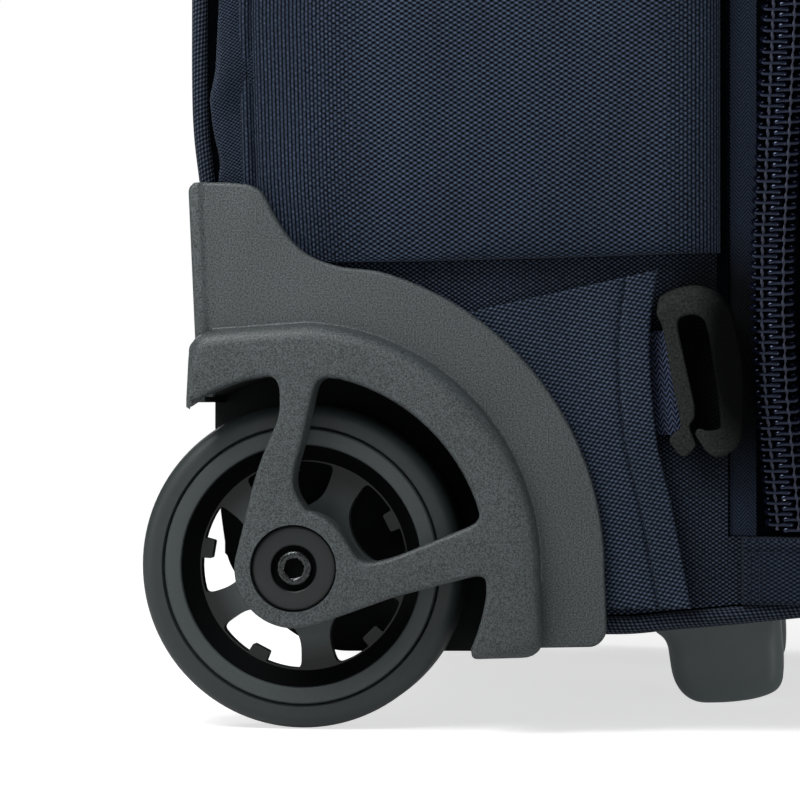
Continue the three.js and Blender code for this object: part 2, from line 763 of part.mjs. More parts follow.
function makeHookWebbing() {
  const near = sideFace + gap;
  const raised = hookBack - gap - webbingThickness;
  const low = webbingUp - webbingWidth / 2;
  const high = webbingUp + webbingWidth / 2;
  return loft([
    { forward: webbingRear, out: near },
    { forward: 1.15 * flangeRadius, out: near + gap },
    { forward: 1.2 * flangeRadius, out: raised },
    { forward: webbingFront, out: raised },
  ].map(({ forward, out }) => [
    sidePoint(out, forward, low), sidePoint(out, forward, high),
    sidePoint(out + webbingThickness, forward, high), sidePoint(out + webbingThickness, forward, low),
  ]));
}

addPair('gear_hook', makeHook(), blackPlastic);
addPair('hook_webbing', makeHookWebbing(), webbing);

// How far the middle of a quarter bend lies from its corner, as a share of the bend
const elbow = 1 - Math.SQRT1_2;

// A cord along points, with a section of six sides
function cordAlong(points, radius, steps) {
  const section = new THREE.Shape(arc(radius, 0, 300, 5).map(([x, y]) => new THREE.Vector2(x, y)));
  return new THREE.ExtrudeGeometry(section, {
    steps, bevelEnabled: false, curveSegments: 1, extrudePath: new THREE.CatmullRomCurve3(points),
  });
}

function makeBackPiping() {
  const y = bagRear + gap + backPipingRadius;
  const low = axleZ + tabTop + gap;
  const bend = backPipingBend;
  const side = backPipingSide;
  const half = [
    [side, low], [side, (low * 2 + backPipingTop) / 3], [side, (low + backPipingTop * 2) / 3],
    [side, backPipingTop - bend], [side - bend * elbow, backPipingTop - bend * elbow],
    [side - bend, backPipingTop], [side / 3, backPipingTop],
  ];
  const points = [
    ...half.map(([x, z]) => new THREE.Vector3(-x, y, z)),
    ...half.map(([x, z]) => new THREE.Vector3(x, y, z)).reverse(),
  ];
  return cordAlong(points, backPipingRadius, 38);
}

function makeBottomPiping() {
  const side = sideFace - bottomPipingRadius + bottomPipingProud;
  const drop = bagBottom - gap - bottomPipingRadius - 0.1;
  const height = (y) => drop + Math.max(0, slopeStart - y) * riseToFront;
  const { front } = bodyTable[1];
  const nose = -frontReach * front + bottomPipingRadius + frontCrown;
  const bend = frontCorner - bottomPipingRadius;
  const half = [
    [side, bottomPipingStart], [side, slopeStart + 6], [side, slopeStart - 12], [side, nose + bend + 10],
    [side - bend * elbow, nose + bend * elbow], [side - bend - 10, nose], [side / 3, nose - frontCrown * 0.6],
  ];
  const points = [
    ...half.map(([x, y]) => new THREE.Vector3(-x, y, height(y))),
    ...half.map(([x, y]) => new THREE.Vector3(x, y, height(y))).reverse(),
  ];
  return cordAlong(points, bottomPipingRadius, 38);
}

addPiece('back_piping', makeBackPiping(), darkCloth);
addPiece('bottom_piping', makeBottomPiping(), darkCloth);

// Front feet: shares of the foot's length from front to rear and of its height, up to the sloping
// bottom cloth, with the reach of each rounded corner in millimetres
const footTable = [
  { along: 1.24, up: 0.87, reach: 3 }, { along: 1.05, up: 0.60, reach: 5 },
  { along: 1.00, up: 0.165, reach: 4 }, { along: 0.825, up: 0.00, reach: 5 },
  { along: 0.505, up: 0.00, reach: 0 }, { along: 0.255, up: 0.053, reach: 0 },
  { along: 0.02, up: 0.12, reach: 7 }, { along: 0.00, up: 0.43, reach: 4 },
  { along: 0.04, up: 0.90, reach: 3 }, { along: -0.19, up: 0.965, reach: 2 },
];

function makeFoot() {
  const base = bagBottom - gap;
  const length = footRear - footFront;
  const under = footTable.map(({ along, up, reach }) => [footFront + along * length, up * base, reach]);
  const [rearMost] = under[0];
  const [frontMost] = under[under.length - 1];
  const onCloth = [frontMost, rearMost].map((y) => [y, base + Math.max(0, slopeStart - y) * riseToFront]);
  const knee = rearMost > slopeStart ? [[slopeStart, base]] : [];
  return plateAcross([...under, onCloth[0], ...knee, onCloth[1]], footWidth / 2)
    .translate(-footFace + footWidth / 2, 0, 0);
}

addPair('foot', makeFoot(), greyPlastic);

// Back pad, shoulder straps and their webbing
const padRear = bagRear + gap + padThickness;
const padMiddle = (padBottom + padTop) / 2;
addPiece('back_pad', plate(
  roundedBox(padWidth / 2, (padTop - padBottom) / 2, padCorner), bagRear + gap, padRear, { bevel: padEdge },
).translate(0, 0, padMiddle), meshCloth);

function strapOutline() {
  const half = strapWidth / 2;
  const bendX = strapEndX - 6;
  const bendZ = strapEndZ + (strapTopZ - strapEndZ) * 0.4;
  return rounded([
    [-strapTopX + half, strapTopZ, 10], [-strapTopX - half, strapTopZ, 10],
    [-bendX - half, bendZ + 12, 40], [-strapEndX - half + 6, strapEndZ, 8],
    [-strapEndX + half - 6, strapEndZ, 8], [-bendX + half, bendZ - 12, 40],
  ]);
}

const strapBase = padRear + gap;
const strapTop = strapBase + strapThickness;
addPair('shoulder_strap', plate(strapOutline(), strapBase, strapTop, { bevel: strapEdge }), meshCloth);

const buckleTop = strapEndZ - gap;
const buckleShape = roundedBox(strapWebbing / 2 + buckleRim, buckleHeight / 2, buckleRim);
addPair('strap_buckle', plate(buckleShape, strapBase, strapBase + buckleThickness)
  .translate(-strapEndX, 0, buckleTop - buckleHeight / 2), blackPlastic);

function makeStrapWebbing() {
  const top = buckleTop - buckleHeight - gap;
  const half = strapWebbing / 2;
  const outline = rounded([
    [-strapEndX + half, top], [-strapEndX - half, top],
    [-anchorX - half, anchorZ], [-anchorX + half, anchorZ],
  ]);
  return plate(outline, strapBase, strapBase + webbingThickness);
}

addPair('strap_webbing', makeStrapWebbing(), webbing);

// Top handle: an arch of padded webbing, drawn as (x, z)
function makeTopHandle() {
  const foot = bagTop + gap;
  const half = handleSpan / 2;
  const tab = handleTab;
  const outline = rounded([
    [-half, foot], [-half + tab, foot, 6], [-half + tab + 12, foot + handleRise - handleThickness, 12],
    [half - tab - 12, foot + handleRise - handleThickness, 12], [half - tab, foot, 6], [half, foot],
    [half, foot + handleThickness * 0.6, 3], [half - tab, foot + handleThickness, 10],
    [half - tab - 8, foot + handleRise, 14], [-half + tab + 8, foot + handleRise, 14],
    [-half + tab, foot + handleThickness, 10], [-half, foot + handleThickness * 0.6, 3],
  ]);
  return plate(outline, handleLine - handleWidth / 2, handleLine + handleWidth / 2);
}

addPiece('top_handle', makeTopHandle(), navyCloth);

// Tow handle: a bezel on the bag's top and three stages of tube on each side
const stageStep = towWall + gap;

function tube(stage, low, high) {
  const shrink = stage * stageStep;
  const corner = towCorner - shrink * 0.6;
  const shape = roundedBox(towTubeX / 2 - shrink, towTubeY / 2 - shrink, corner);
  shape.holes.push(roundedBox(
    towTubeX / 2 - shrink - towWall, towTubeY / 2 - shrink - towWall, corner - towWall * 0.6, THREE.Path,
  ));
  return extrude(shape, high - low, { curve: 1 }).translate(-towHalfSpan, towLine, low);
}

const outerTubeLow = bagBottom + cloth + gap;
const middleTubeTop = bagTop + gap + bezelFloor + gap;
const innerTubeTop = middleTubeTop + gap;
addPair('tow_tube_outer', tube(0, outerTubeLow, bagTop), tubeMetal);
addPair('tow_tube_middle', tube(1, bagTop - towStage - towOverlap, middleTubeTop), tubeMetal);
addPair('tow_tube_inner', tube(2, middleTubeTop - towStage - towOverlap, innerTubeTop), tubeMetal);

function makeBezel() {
  const low = bagTop + gap;
  const bodyShape = roundedBox(bezelX / 2, bezelY / 2, bezelCorner);
  const body = extrude(bodyShape, bezelHeight).translate(0, towLine, low);
  const wellShape = roundedBox(bezelX / 2 - bezelWall, bezelY / 2 - bezelWall, bezelCorner - bezelWall * 0.6);
  const well = extrude(wellShape, bezelHeight).translate(0, towLine, low + bezelFloor);
  const guideShape = roundedBox(towTubeX / 2 - towWall, towTubeY / 2 - towWall, towCorner - towWall * 0.6);
  const guide = extrude(guideShape, far).translate(-towHalfSpan, towLine, low - far / 2);
  return cut(body, well, guide, mirrored(guide));
}

addPiece('tow_bezel', makeBezel(), greyPlastic);

const gripTop = overallHeight - buttonRise;

function makeGrip() {
  const low = innerTubeTop + gap;
  const half = gripX / 2;
  const legOut = towHalfSpan + gripLeg / 2;
  const legIn = towHalfSpan - gripLeg / 2;
  const bar = gripTop - gripBar;
  const outline = rounded([
    [-legOut, low], [-legIn, low], [-legIn, bar, 5], [legIn, bar, 5], [legIn, low], [legOut, low],
    [half, bar + 2, 5], [half, gripTop, 7], [-half, gripTop, 7], [-half, bar + 2, 5],
  ]);
  const body = plate(outline, towLine - gripY / 2, towLine + gripY / 2, { bevel: gripEdge });
  const pocket = extrude(roundedBox(buttonX / 2 + gap, buttonY / 2 + gap, buttonCorner), far)
    .translate(0, towLine, gripTop - buttonDepth);
  return cut(body, pocket);
}

addPiece('tow_grip', makeGrip(), blackPlastic);

const buttonLow = gripTop - buttonDepth + gap + buttonTravel;
const buttonShape = roundedBox(buttonX / 2, buttonY / 2, buttonCorner);
addPiece('tow_button', extrude(buttonShape, overallHeight - buttonLow)
  .translate(0, towLine, buttonLow), greyPlastic);

export default bagModel;
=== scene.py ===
"""Looks of the wheeled backpack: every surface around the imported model.

Lengths are millimetres until a mesh is made, which is in metres. The side pieces are drawn as
(forward, up) about the left wheel's axle and stand out towards -X.
"""
import math
from bisect import bisect_right

import bmesh
import bpy
from mathutils import Matrix, Vector
from mathutils.geometry import tessellate_polygon


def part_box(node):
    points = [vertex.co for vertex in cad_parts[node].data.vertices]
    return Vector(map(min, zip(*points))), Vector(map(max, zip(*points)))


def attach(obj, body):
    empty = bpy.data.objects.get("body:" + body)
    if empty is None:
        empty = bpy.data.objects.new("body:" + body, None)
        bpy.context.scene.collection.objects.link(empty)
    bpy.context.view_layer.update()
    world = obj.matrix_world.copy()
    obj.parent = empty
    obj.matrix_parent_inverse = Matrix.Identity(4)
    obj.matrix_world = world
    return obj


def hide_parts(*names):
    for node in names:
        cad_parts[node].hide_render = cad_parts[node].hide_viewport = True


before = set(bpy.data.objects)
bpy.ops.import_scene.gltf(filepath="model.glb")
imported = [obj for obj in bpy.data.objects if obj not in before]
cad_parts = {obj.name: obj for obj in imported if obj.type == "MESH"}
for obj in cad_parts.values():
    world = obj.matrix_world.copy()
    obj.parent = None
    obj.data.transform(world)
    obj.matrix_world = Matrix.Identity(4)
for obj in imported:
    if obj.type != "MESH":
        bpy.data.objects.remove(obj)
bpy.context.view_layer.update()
MM = 0.001


# Places taken from the frame, in millimetres
def cad_box(name):
    low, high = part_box(name)
    return low / MM, high / MM


TUB_LOW, TUB_HIGH = cad_box("tub")
HOUSING_LOW, HOUSING_HIGH = cad_box("wheel_housing_left")
TYRE_LOW, TYRE_HIGH = cad_box("tyre_left")
AXLE_Z = (TYRE_LOW.z + TYRE_HIGH.z) / 2
AXLE_Y = (TYRE_LOW.y + TYRE_HIGH.y) / 2
WHEEL_RADIUS = (TYRE_HIGH.y - TYRE_LOW.y) / 2
WHEEL_FACE = -TYRE_LOW.x
WHEEL_BACK = -TYRE_HIGH.x
HOUSING_FACE = -HOUSING_LOW.x
SIDE_FACE = -TUB_LOW.x
BAG_TOP = TUB_HIGH.z
BAG_REAR = TUB_HIGH.y
SLIDER_LOW, SLIDER_HIGH = cad_box("zip_slider_left")
SLIDER_MIDDLE = (SLIDER_LOW + SLIDER_HIGH) / 2
ZIP_LINE = SLIDER_MIDDLE.y
ZIP_END = cad_box("zip_chain")[0].z

# Camera: the photograph's place in millimetres, its angle and its lens
CAMERA_PLACE = (-1052.3, -58.2, 85.7)
CAMERA_TURN = 6.7
CAMERA_LENS = 155.77
SENSOR = 36


def side_point(out, forward, up):
    return Vector((-out, AXLE_Y - forward, AXLE_Z + up))


def from_axle(point):
    return math.hypot(point.y - AXLE_Y, point.z - AXLE_Z)


# Outlines, as lists of (x, y)
def polar(radius, degrees):
    angle = math.radians(degrees)
    return radius * math.cos(angle), radius * math.sin(angle)


def arc(radius, start, end, steps, centre=(0, 0)):
    found = []
    for i in range(steps + 1):
        x, y = polar(radius, start + (end - start) * i / steps)
        found.append((centre[0] + x, centre[1] + y))
    return found


def area(points):
    return sum(x0 * y1 - x1 * y0 for (x0, y0), (x1, y1) in zip(points, points[1:] + points[:1])) / 2


def rounded(corners, steps=7):
    """Closed outline through (x, y, reach): reach says how far from a corner its rounding starts."""
    found = []
    for i, corner in enumerate(corners):
        here = Vector(corner[:2])
        reach = corner[2] if len(corner) > 2 else 0
        back = Vector(corners[i - 1][:2]) - here
        ahead = Vector(corners[(i + 1) % len(corners)][:2]) - here
        if not reach:
            found.append(tuple(here))
            continue
        start = here + back.normalized() * min(reach, back.length * 0.49)
        end = here + ahead.normalized() * min(reach, ahead.length * 0.49)
        for step in range(steps + 1):
            t = step / steps
            found.append(tuple(start * (1 - t) ** 2 + here * 2 * t * (1 - t) + end * t ** 2))
    return found


def rounded_box(half_x, half_y, reach, steps=7):
    corners = [(half_x, -half_y), (half_x, half_y), (-half_x, half_y), (-half_x, -half_y)]
    return rounded([(x, y, reach) for x, y in corners], steps)


def spline(points, steps):
    """Smooth open curve through points of any length, with so many steps between two of them."""
    found = []
    for i in range(len(points) - 1):
        before = points[max(i - 1, 0)]
        after = points[min(i + 2, len(points) - 1)]
        for step in range(steps):
            t = step / steps
            found.append(tuple(
                0.5 * (2 * p1 + (p2 - p0) * t + (2 * p0 - 5 * p1 + 4 * p2 - p3) * t ** 2
                       + (3 * p1 - p0 - 3 * p2 + p3) * t ** 3)
                for p0, p1, p2, p3 in zip(before, points[i], points[i + 1], after)))
    return found + [tuple(points[-1])]


def along(table, x):
    """Value at x in a table of (x, value), with straight lines between its rows."""
    if x <= table[0][0]:
        return table[0][1]
    for (x0, y0), (x1, y1) in zip(table, table[1:]):
        if x <= x1:
            return y0 + (y1 - y0) * (x - x0) / (x1 - x0)
    return table[-1][1]


def smooth(low, high, x):
    t = min(max((x - low) / (high - low), 0), 1)
    return t * t * (3 - 2 * t)


def hump(x, middle, width):
    return math.exp(-((x - middle) / width) ** 2)


def roll(distance, radius):
    """Height share of a rounded edge, at a distance in from it."""
    if distance <= 0:
        return 0.0
    return math.sqrt(1 - (1 - min(distance / radius, 1)) ** 2)


# Bodies, as (points, faces)
def side_faces(first, count, levels):
    """Faces between closed rings of count points that follow each other from the point first on."""
    return [(low + i, low + (i + 1) % count, low + count + (i + 1) % count, low + count + i)
            for low in range(first, first + (levels - 1) * count, count) for i in range(count)]


def loft(rings):
    """Closed rings of equally many points, turned anticlockwise seen from the last one."""
    count = len(rings[0])
    points = [Vector(point) for ring in rings for point in ring]
    ends = [tuple(range(count))[::-1], tuple(range(len(points) - count, len(points)))]
    return points, side_faces(0, count, len(rings)) + ends


def inward(loop):
    """For each point of a loop, the direction to its left, lengthened at corners."""
    found = []
    for i, here in enumerate(loop):
        before = (Vector(here) - Vector(loop[i - 1])).normalized()
        after = (Vector(loop[(i + 1) % len(loop)]) - Vector(here)).normalized()
        middle = (before + after).normalized()
        left = Vector((-middle.y, middle.x))
        found.append(left / max(Vector((-after.y, after.x)).dot(left), 0.6))
    return found


def prism(outer, holes=(), low=0.0, high=1.0, round_low=0.0, round_high=0.0, steps=5, place=None):
    """Plate from an outline, with rounded edges. A rounding is a radius or a function of the point."""
    loops = [outer if area(outer) > 0 else outer[::-1]]
    loops += [hole if area(hole) < 0 else hole[::-1] for hole in holes]
    points, faces, starts = [], [], []
    for loop in loops:
        left = inward(loop)
        low_radii = [round_low(p) if callable(round_low) else round_low for p in loop]
        high_radii = [round_high(p) if callable(round_high) else round_high for p in loop]
        levels = [("low", step / steps) for step in range(steps)] if max(low_radii) > 0 else []
        levels += [("low", 1.0), ("high", 0.0)]
        if max(high_radii) > 0:
            levels += [("high", (step + 1) / steps) for step in range(steps)]
        first = len(points)
        for kind, share in levels:
            angle = math.radians(90 * share)
            for (x, y), direction, low_radius, high_radius in zip(loop, left, low_radii, high_radii):
                if kind == "low":
                    inset = low_radius * (1 - math.sin(angle))
                    height = low + low_radius * (1 - math.cos(angle))
                else:
                    inset = high_radius * (1 - math.cos(angle))
                    height = high - high_radius * (1 - math.sin(angle))
                points.append(Vector((x + direction.x * inset, y + direction.y * inset, height)))
        faces += side_faces(first, len(loop), len(levels))
        starts.append((first, first + (len(levels) - 1) * len(loop), len(loop)))
    for which in (0, 1):
        index = [start[which] + i for start in starts for i in range(start[2])]
        flat = [[points[start[which] + i].xy.to_3d() for i in range(start[2])] for start in starts]
        for corners in tessellate_polygon(flat):
            a, b, c = (index[k] for k in corners)
            turns = (points[b] - points[a]).cross(points[c] - points[a]).z > 0
            faces.append((a, b, c) if turns == bool(which) else (a, c, b))
    if place is not None:
        points = [place @ point for point in points]
        if place.determinant() < 0:
            faces = [face[::-1] for face in faces]
    return points, faces


# An outline drawn as (forward, up) about the axle, its height towards -X
SIDE = Matrix(((0, 0, -1, 0), (-1, 0, 0, AXLE_Y), (0, 1, 0, AXLE_Z), (0, 0, 0, 1)))
# An outline drawn as (x, z), its height towards +Y
BACK = Matrix(((1, 0, 0, 0), (0, 0, 1, 0), (0, 1, 0, 0), (0, 0, 0, 1)))
# An outline drawn as (y, z), its height towards +X
ACROSS = Matrix(((0, 0, 1, 0), (1, 0, 0, 0), (0, 1, 0, 0), (0, 0, 0, 1)))


def lathe(profile, segments):
    """Turned body about the left wheel's axle, from (radius, out) points in order round the section."""
    points = []
    for i in range(segments):
        x, y = polar(1, 360 * i / segments)
        points += [side_point(out, radius * x, radius * y) for radius, out in profile]
    count = len(profile)
    faces = []
    for i in range(segments):
        base = i * count
        after = ((i + 1) % segments) * count
        for k in range(count):
            k1 = (k + 1) % count
            faces.append((base + k, base + k1, after + k1, after + k))
    return points, faces


def way_along(path, i):
    """Direction of a path at its point i."""
    return (path[min(i + 1, len(path) - 1)] - path[max(i - 1, 0)]).normalized()


def sweep(path, section, up):
    """Section of (across, above) points carried along a path of points."""
    rings = []
    for i, point in enumerate(path):
        ahead = way_along(path, i)
        across = ahead.cross(up).normalized()
        above = across.cross(ahead)
        rings.append([point + across * x + above * y for x, y in section])
    return loft(rings)


def together(*bodies):
    points, faces = [], []
    for more_points, more_faces in bodies:
        base = len(points)
        points += more_points
        faces += [tuple(base + i for i in face) for face in more_faces]
    return points, faces


def scratch(body):
    """Temporary object in millimetres, with its faces turned outwards."""
    points, faces = body
    mesh = bpy.data.meshes.new("scratch")
    mesh.from_pydata(points, [], faces)
    work = bmesh.new()
    work.from_mesh(mesh)
    bmesh.ops.remove_doubles(work, verts=work.verts, dist=1e-4)
    bmesh.ops.recalc_face_normals(work, faces=work.faces)
    work.to_mesh(mesh)
    work.free()
    obj = bpy.data.objects.new("scratch", mesh)
    bpy.context.scene.collection.objects.link(obj)
    return obj


def combine(body, *steps):
    """Joins or cuts closed bodies, one (operation, body) after another."""
    base = scratch(body)
    for operation, other in steps:
        tool = scratch(other)
        change = base.modifiers.new("change", "BOOLEAN")
        change.object = tool
        change.operation = operation
        change.solver = "MANIFOLD"
        seen = bpy.context.evaluated_depsgraph_get()
        result = bpy.data.meshes.new_from_object(base.evaluated_get(seen))
        base.modifiers.clear()
        base.data = result
        bpy.data.objects.remove(tool)
    points = [v.co.copy() for v in base.data.vertices]
    faces = [tuple(p.vertices) for p in base.data.polygons]
    bpy.data.objects.remove(base)
    return points, faces


def cut(body, *tools):
    return combine(body, *(("DIFFERENCE", tool) for tool in tools))


def mirrored(body):
    points, faces = body
    return [Vector((-p.x, p.y, p.z)) for p in points], [face[::-1] for face in faces]


UV_SCALE = 0.01


def project(mesh):
    """Weave coordinates from the way each face looks, in millimetres times UV_SCALE."""
    layer = mesh.uv_layers.new(name="weave")
    for face in mesh.polygons:
        size = [abs(value) for value in face.normal]
        axis = size.index(max(size))
        first, second = ((1, 2), (0, 2), (0, 1))[axis]
        for loop in face.loop_indices:
            co = mesh.vertices[mesh.loops[loop].vertex_index].co / MM
            layer.data[loop].uv = (co[first] * UV_SCALE, co[second] * UV_SCALE)


def add_piece(name, body, material, slot, stands_for, rides="root", sharp=35, weave=None):
    """Makes a mesh object of a body in millimetres. weave gives (u, v) in millimetres for each point."""
    points, faces = body
    mesh = bpy.data.meshes.new(name)
    mesh.from_pydata([p * MM for p in points], [], faces)
    mesh.validate()
    mesh.polygons.foreach_set("use_smooth", [True] * len(mesh.polygons))
    mesh.set_sharp_from_angle(angle=math.radians(sharp))
    if weave is None:
        project(mesh)
    else:
        layer = mesh.uv_layers.new(name="weave")
        for loop in mesh.loops:
            u, v = weave[loop.vertex_index]
            layer.data[loop.index].uv = (u * UV_SCALE, v * UV_SCALE)
    mesh.materials.append(material)
    obj = bpy.data.objects.new(name, mesh)
    bpy.context.scene.collection.objects.link(obj)
    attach(obj, rides)
    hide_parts(*stands_for)
    return obj


def add_pair(name, body, material, slot, stands_for, rides="root", **options):
    """The left piece and its mirror image. Node names end in _left or _right, and {} in rides is the side."""
    made = []
    for side, shape in (("left", body), ("right", mirrored(body))):
        made.append(add_piece(
            f"{name}_{side}", shape, material, slot, [f"{solid}_{side}" for solid in stands_for],
            rides.format(side), **options))
    return made


# Materials
CLOUD = 28
RIB_SHARE = 0.8
RIB_MIDDLE = 0.72
RIB_HEIGHT = -1.5


def srgb(red, green, blue):
    """Colour from the usual 0 to 255 values."""
    def linear(value):
        value = value / 255
        return value / 12.92 if value <= 0.04045 else ((value + 0.055) / 1.055) ** 2.4
    return linear(red), linear(green), linear(blue), 1.0


def node(tree, kind, inputs, output=0, **settings):
    """A node with its inputs set or linked. Returns one of its outputs."""
    made = tree.nodes.new(kind)
    for name, value in settings.items():
        setattr(made, name, value)
    for key, value in inputs.items():
        if isinstance(value, bpy.types.NodeSocket):
            tree.links.new(value, made.inputs[key])
        else:
            made.inputs[key].default_value = value
    return made.outputs[output]


def calc(tree, operation, first, second=0.0):
    return node(tree, "ShaderNodeMath", {0: first, 1: second}, operation=operation)


def remap(tree, value, low, high, to_low=0.0, to_high=1.0, **settings):
    """A value moved from the range between low and high into the other range."""
    return node(tree, "ShaderNodeMapRange", {0: value, 1: low, 2: high, 3: to_low, 4: to_high}, **settings)


def move(tree, operation, first, second):
    return node(tree, "ShaderNodeVectorMath", {0: first, 1: second}, operation=operation)


def scaled(tree, colour, share):
    return node(tree, "ShaderNodeVectorMath", {0: colour, "Scale": share}, operation="SCALE")


def length(tree, vector):
    return node(tree, "ShaderNodeVectorMath", {0: vector}, output=1, operation="LENGTH")


def own_place(tree):
    """A point's own coordinates in its object, in metres."""
    return node(tree, "ShaderNodeTexCoord", {}, 3)


def split(tree, vector):
    """Outputs x, y and z of a vector."""
    parts = tree.nodes.new("ShaderNodeSeparateXYZ")
    tree.links.new(vector, parts.inputs[0])
    return parts.outputs


def ramp(tree, factor, stops):
    """Colour ramp from (place, colour) rows."""
    made = tree.nodes.new("ShaderNodeValToRGB")
    tree.links.new(factor, made.inputs[0])
    elements = made.color_ramp.elements
    while len(elements) < len(stops):
        elements.new(0.5)
    for element, (place, colour) in zip(elements, stops):
        element.position = place
        element.color = colour
    return made.outputs[0]


def noise(tree, vector, scale, detail=2.0):
    return node(tree, "ShaderNodeTexNoise", {"Vector": vector, "Scale": scale, "Detail": detail})


def new_material(name, **sockets):
    material = bpy.data.materials.new(name)
    material.use_nodes = True
    tree = material.node_tree
    shader = tree.nodes["Principled BSDF"]
    for key, value in sockets.items():
        shader.inputs[key.replace("_", " ")].default_value = value
    return material, tree, shader


def finish_material(tree, shader, colour, height, depth):
    """Links a colour, and a bump of so many millimetres."""
    tree.links.new(colour, shader.inputs["Base Color"])
    bump = node(tree, "ShaderNodeBump", {"Height": height, "Distance": depth * MM, "Strength": 1.0})
    tree.links.new(bump, shader.inputs["Normal"])


def moulded(name, colour, roughness, grain=0.32, contrast=0.16, depth=0.03, specular=0.5, metallic=0.0,
            hollow=None, ring=None, shine=(1.0, 1.0, 1.0)):
    """Moulded plastic, rubber or metal with a fine even grain, its size in millimetres."""
    material, tree, shader = new_material(name, Roughness=roughness, Specular_IOR_Level=specular,
                                          Metallic=metallic, Specular_Tint=(*shine, 1.0))
    place = own_place(tree)
    fine = noise(tree, place, 1 / (grain * MM), 3.0)
    broad = noise(tree, place, 1 / (CLOUD * MM), 2.0)
    fine_share = remap(tree, fine, 0.32, 0.68, 1 - contrast, 1 + contrast)
    broad_share = remap(tree, broad, 0.3, 0.7, 0.94, 1.06)
    tint = scaled(tree, srgb(*colour)[:3], calc(tree, "MULTIPLY", fine_share, broad_share))
    # The hollow argument paints shade, sinking the colour to black about a place.
    if hollow:
        tint = painted_fold_shade(tree, tint, *hollow)
    # The ring argument paints shade, darkening the colour about the wheel's axle.
    if ring:
        tint = painted_ring_shade(tree, tint, *ring)
    finish_material(tree, shader, tint, fine, depth)
    return material


def painted_ring_shade(tree, colour, near, far, end):
    """The colour with painted shade: sinking to black from near to far about the wheel's axle, and full again
    past end.
    """
    away = move(tree, "SUBTRACT", own_place(tree), (0, AXLE_Y * MM, AXLE_Z * MM))
    radius = length(tree, move(tree, "MULTIPLY", away, (0, 1, 1)))
    fall = remap(tree, radius, near * MM, far * MM, 1.0, 0.1)
    beyond = calc(tree, "GREATER_THAN", radius, end * MM)
    return scaled(tree, colour, calc(tree, "MAXIMUM", fall, beyond))


def painted_fold_shade(tree, colour, middle, reach):
    """The colour with painted shade: sinking to black in a deep fold about a place, in metres."""
    away = move(tree, "SUBTRACT", own_place(tree), middle)
    shares = move(tree, "MULTIPLY", away, (0, 1 / reach[0], 1 / reach[1]))
    share = remap(tree, length(tree, shares), 0.6, 1.25, 0.05, 1.0, interpolation_type="SMOOTHSTEP")
    return scaled(tree, colour, share)


def lattice(tree, across, up, turn):
    """Waves of a weave: 1 in the holes, -1 on the crossings, between columns across apart."""
    uv = node(tree, "ShaderNodeUVMap", {}, uv_map="weave")
    turned = node(tree, "ShaderNodeVectorRotate", {"Vector": uv, "Angle": math.radians(turn)},
                  rotation_type="Z_AXIS")
    u, v, _ = split(tree, turned)
    column = calc(tree, "COSINE", calc(tree, "MULTIPLY", u, math.pi / (across * UV_SCALE)))
    row = calc(tree, "COSINE", calc(tree, "MULTIPLY", v, 2 * math.pi / (up * UV_SCALE)))
    return calc(tree, "MULTIPLY", column, row), uv, column


def rough_wave(tree, uv, wave, grain, amount):
    """A wave from -1 to 1 with its edges made uneven, as a share from 0 to 1."""
    fine = noise(tree, uv, 1 / (grain * UV_SCALE), 2.0)
    jitter = remap(tree, fine, 0.3, 0.7, -amount, amount)
    return remap(tree, calc(tree, "ADD", wave, jitter), -1.0, 1.0)


def woven(name, colours, across, up, turn=0.0, depth=0.2, stops=(0.14, 0.4, 0.58, 0.78), columns=None,
          hollow=None, fold_shade=0.12):
    """Cloth with a lattice weave. colours are the hole's, the yarn's and the crossing's.

    stops are the shares of the wave where the crossing ends, the yarn begins and ends, and the hole
    begins. columns gives the y between which the weave turns into upright ribs, at the rear and at
    the front. The last argument is how much the broad cloudy tone changes the colour: a random tone,
    stretched so that it also paints the shade of soft folds.
    """
    material, tree, shader = new_material(name, Roughness=0.85, Specular_IOR_Level=0.06, Sheen_Weight=0.03)
    wave, uv, column = lattice(tree, across, up, turn)
    if columns:
        y = split(tree, own_place(tree))[1]
        rear, front = (remap(tree, y, low * MM, high * MM, 0.0, RIB_SHARE)
                       for low, high in (columns[:2], columns[2:]))
        ribs = calc(tree, "SUBTRACT", calc(tree, "ABSOLUTE", column), RIB_MIDDLE)
        wave = node(tree, "ShaderNodeMix", {0: calc(tree, "MAXIMUM", rear, front), 2: wave,
                                            3: calc(tree, "MULTIPLY", ribs, RIB_HEIGHT)})
    hole, yarn, crossing = (srgb(*colour) for colour in colours)
    factor = rough_wave(tree, uv, wave, 0.9, 0.22)
    colour = ramp(tree, factor, [(stops[0], crossing), (stops[1], yarn), (stops[2], yarn), (stops[3], hole)])
    stretched = move(tree, "MULTIPLY", uv, (1.8, 0.6, 1))
    broad = noise(tree, stretched, 1 / (30 * UV_SCALE), 3.0)
    tint = scaled(tree, colour, remap(tree, broad, 0.3, 0.7, 1 - fold_shade, 1 + fold_shade))
    # The hollow argument paints shade, sinking the colour to black about a place.
    if hollow:
        tint = painted_fold_shade(tree, tint, *hollow)
    finish_material(tree, shader, tint, calc(tree, "MULTIPLY", wave, -0.5), depth)
    return material


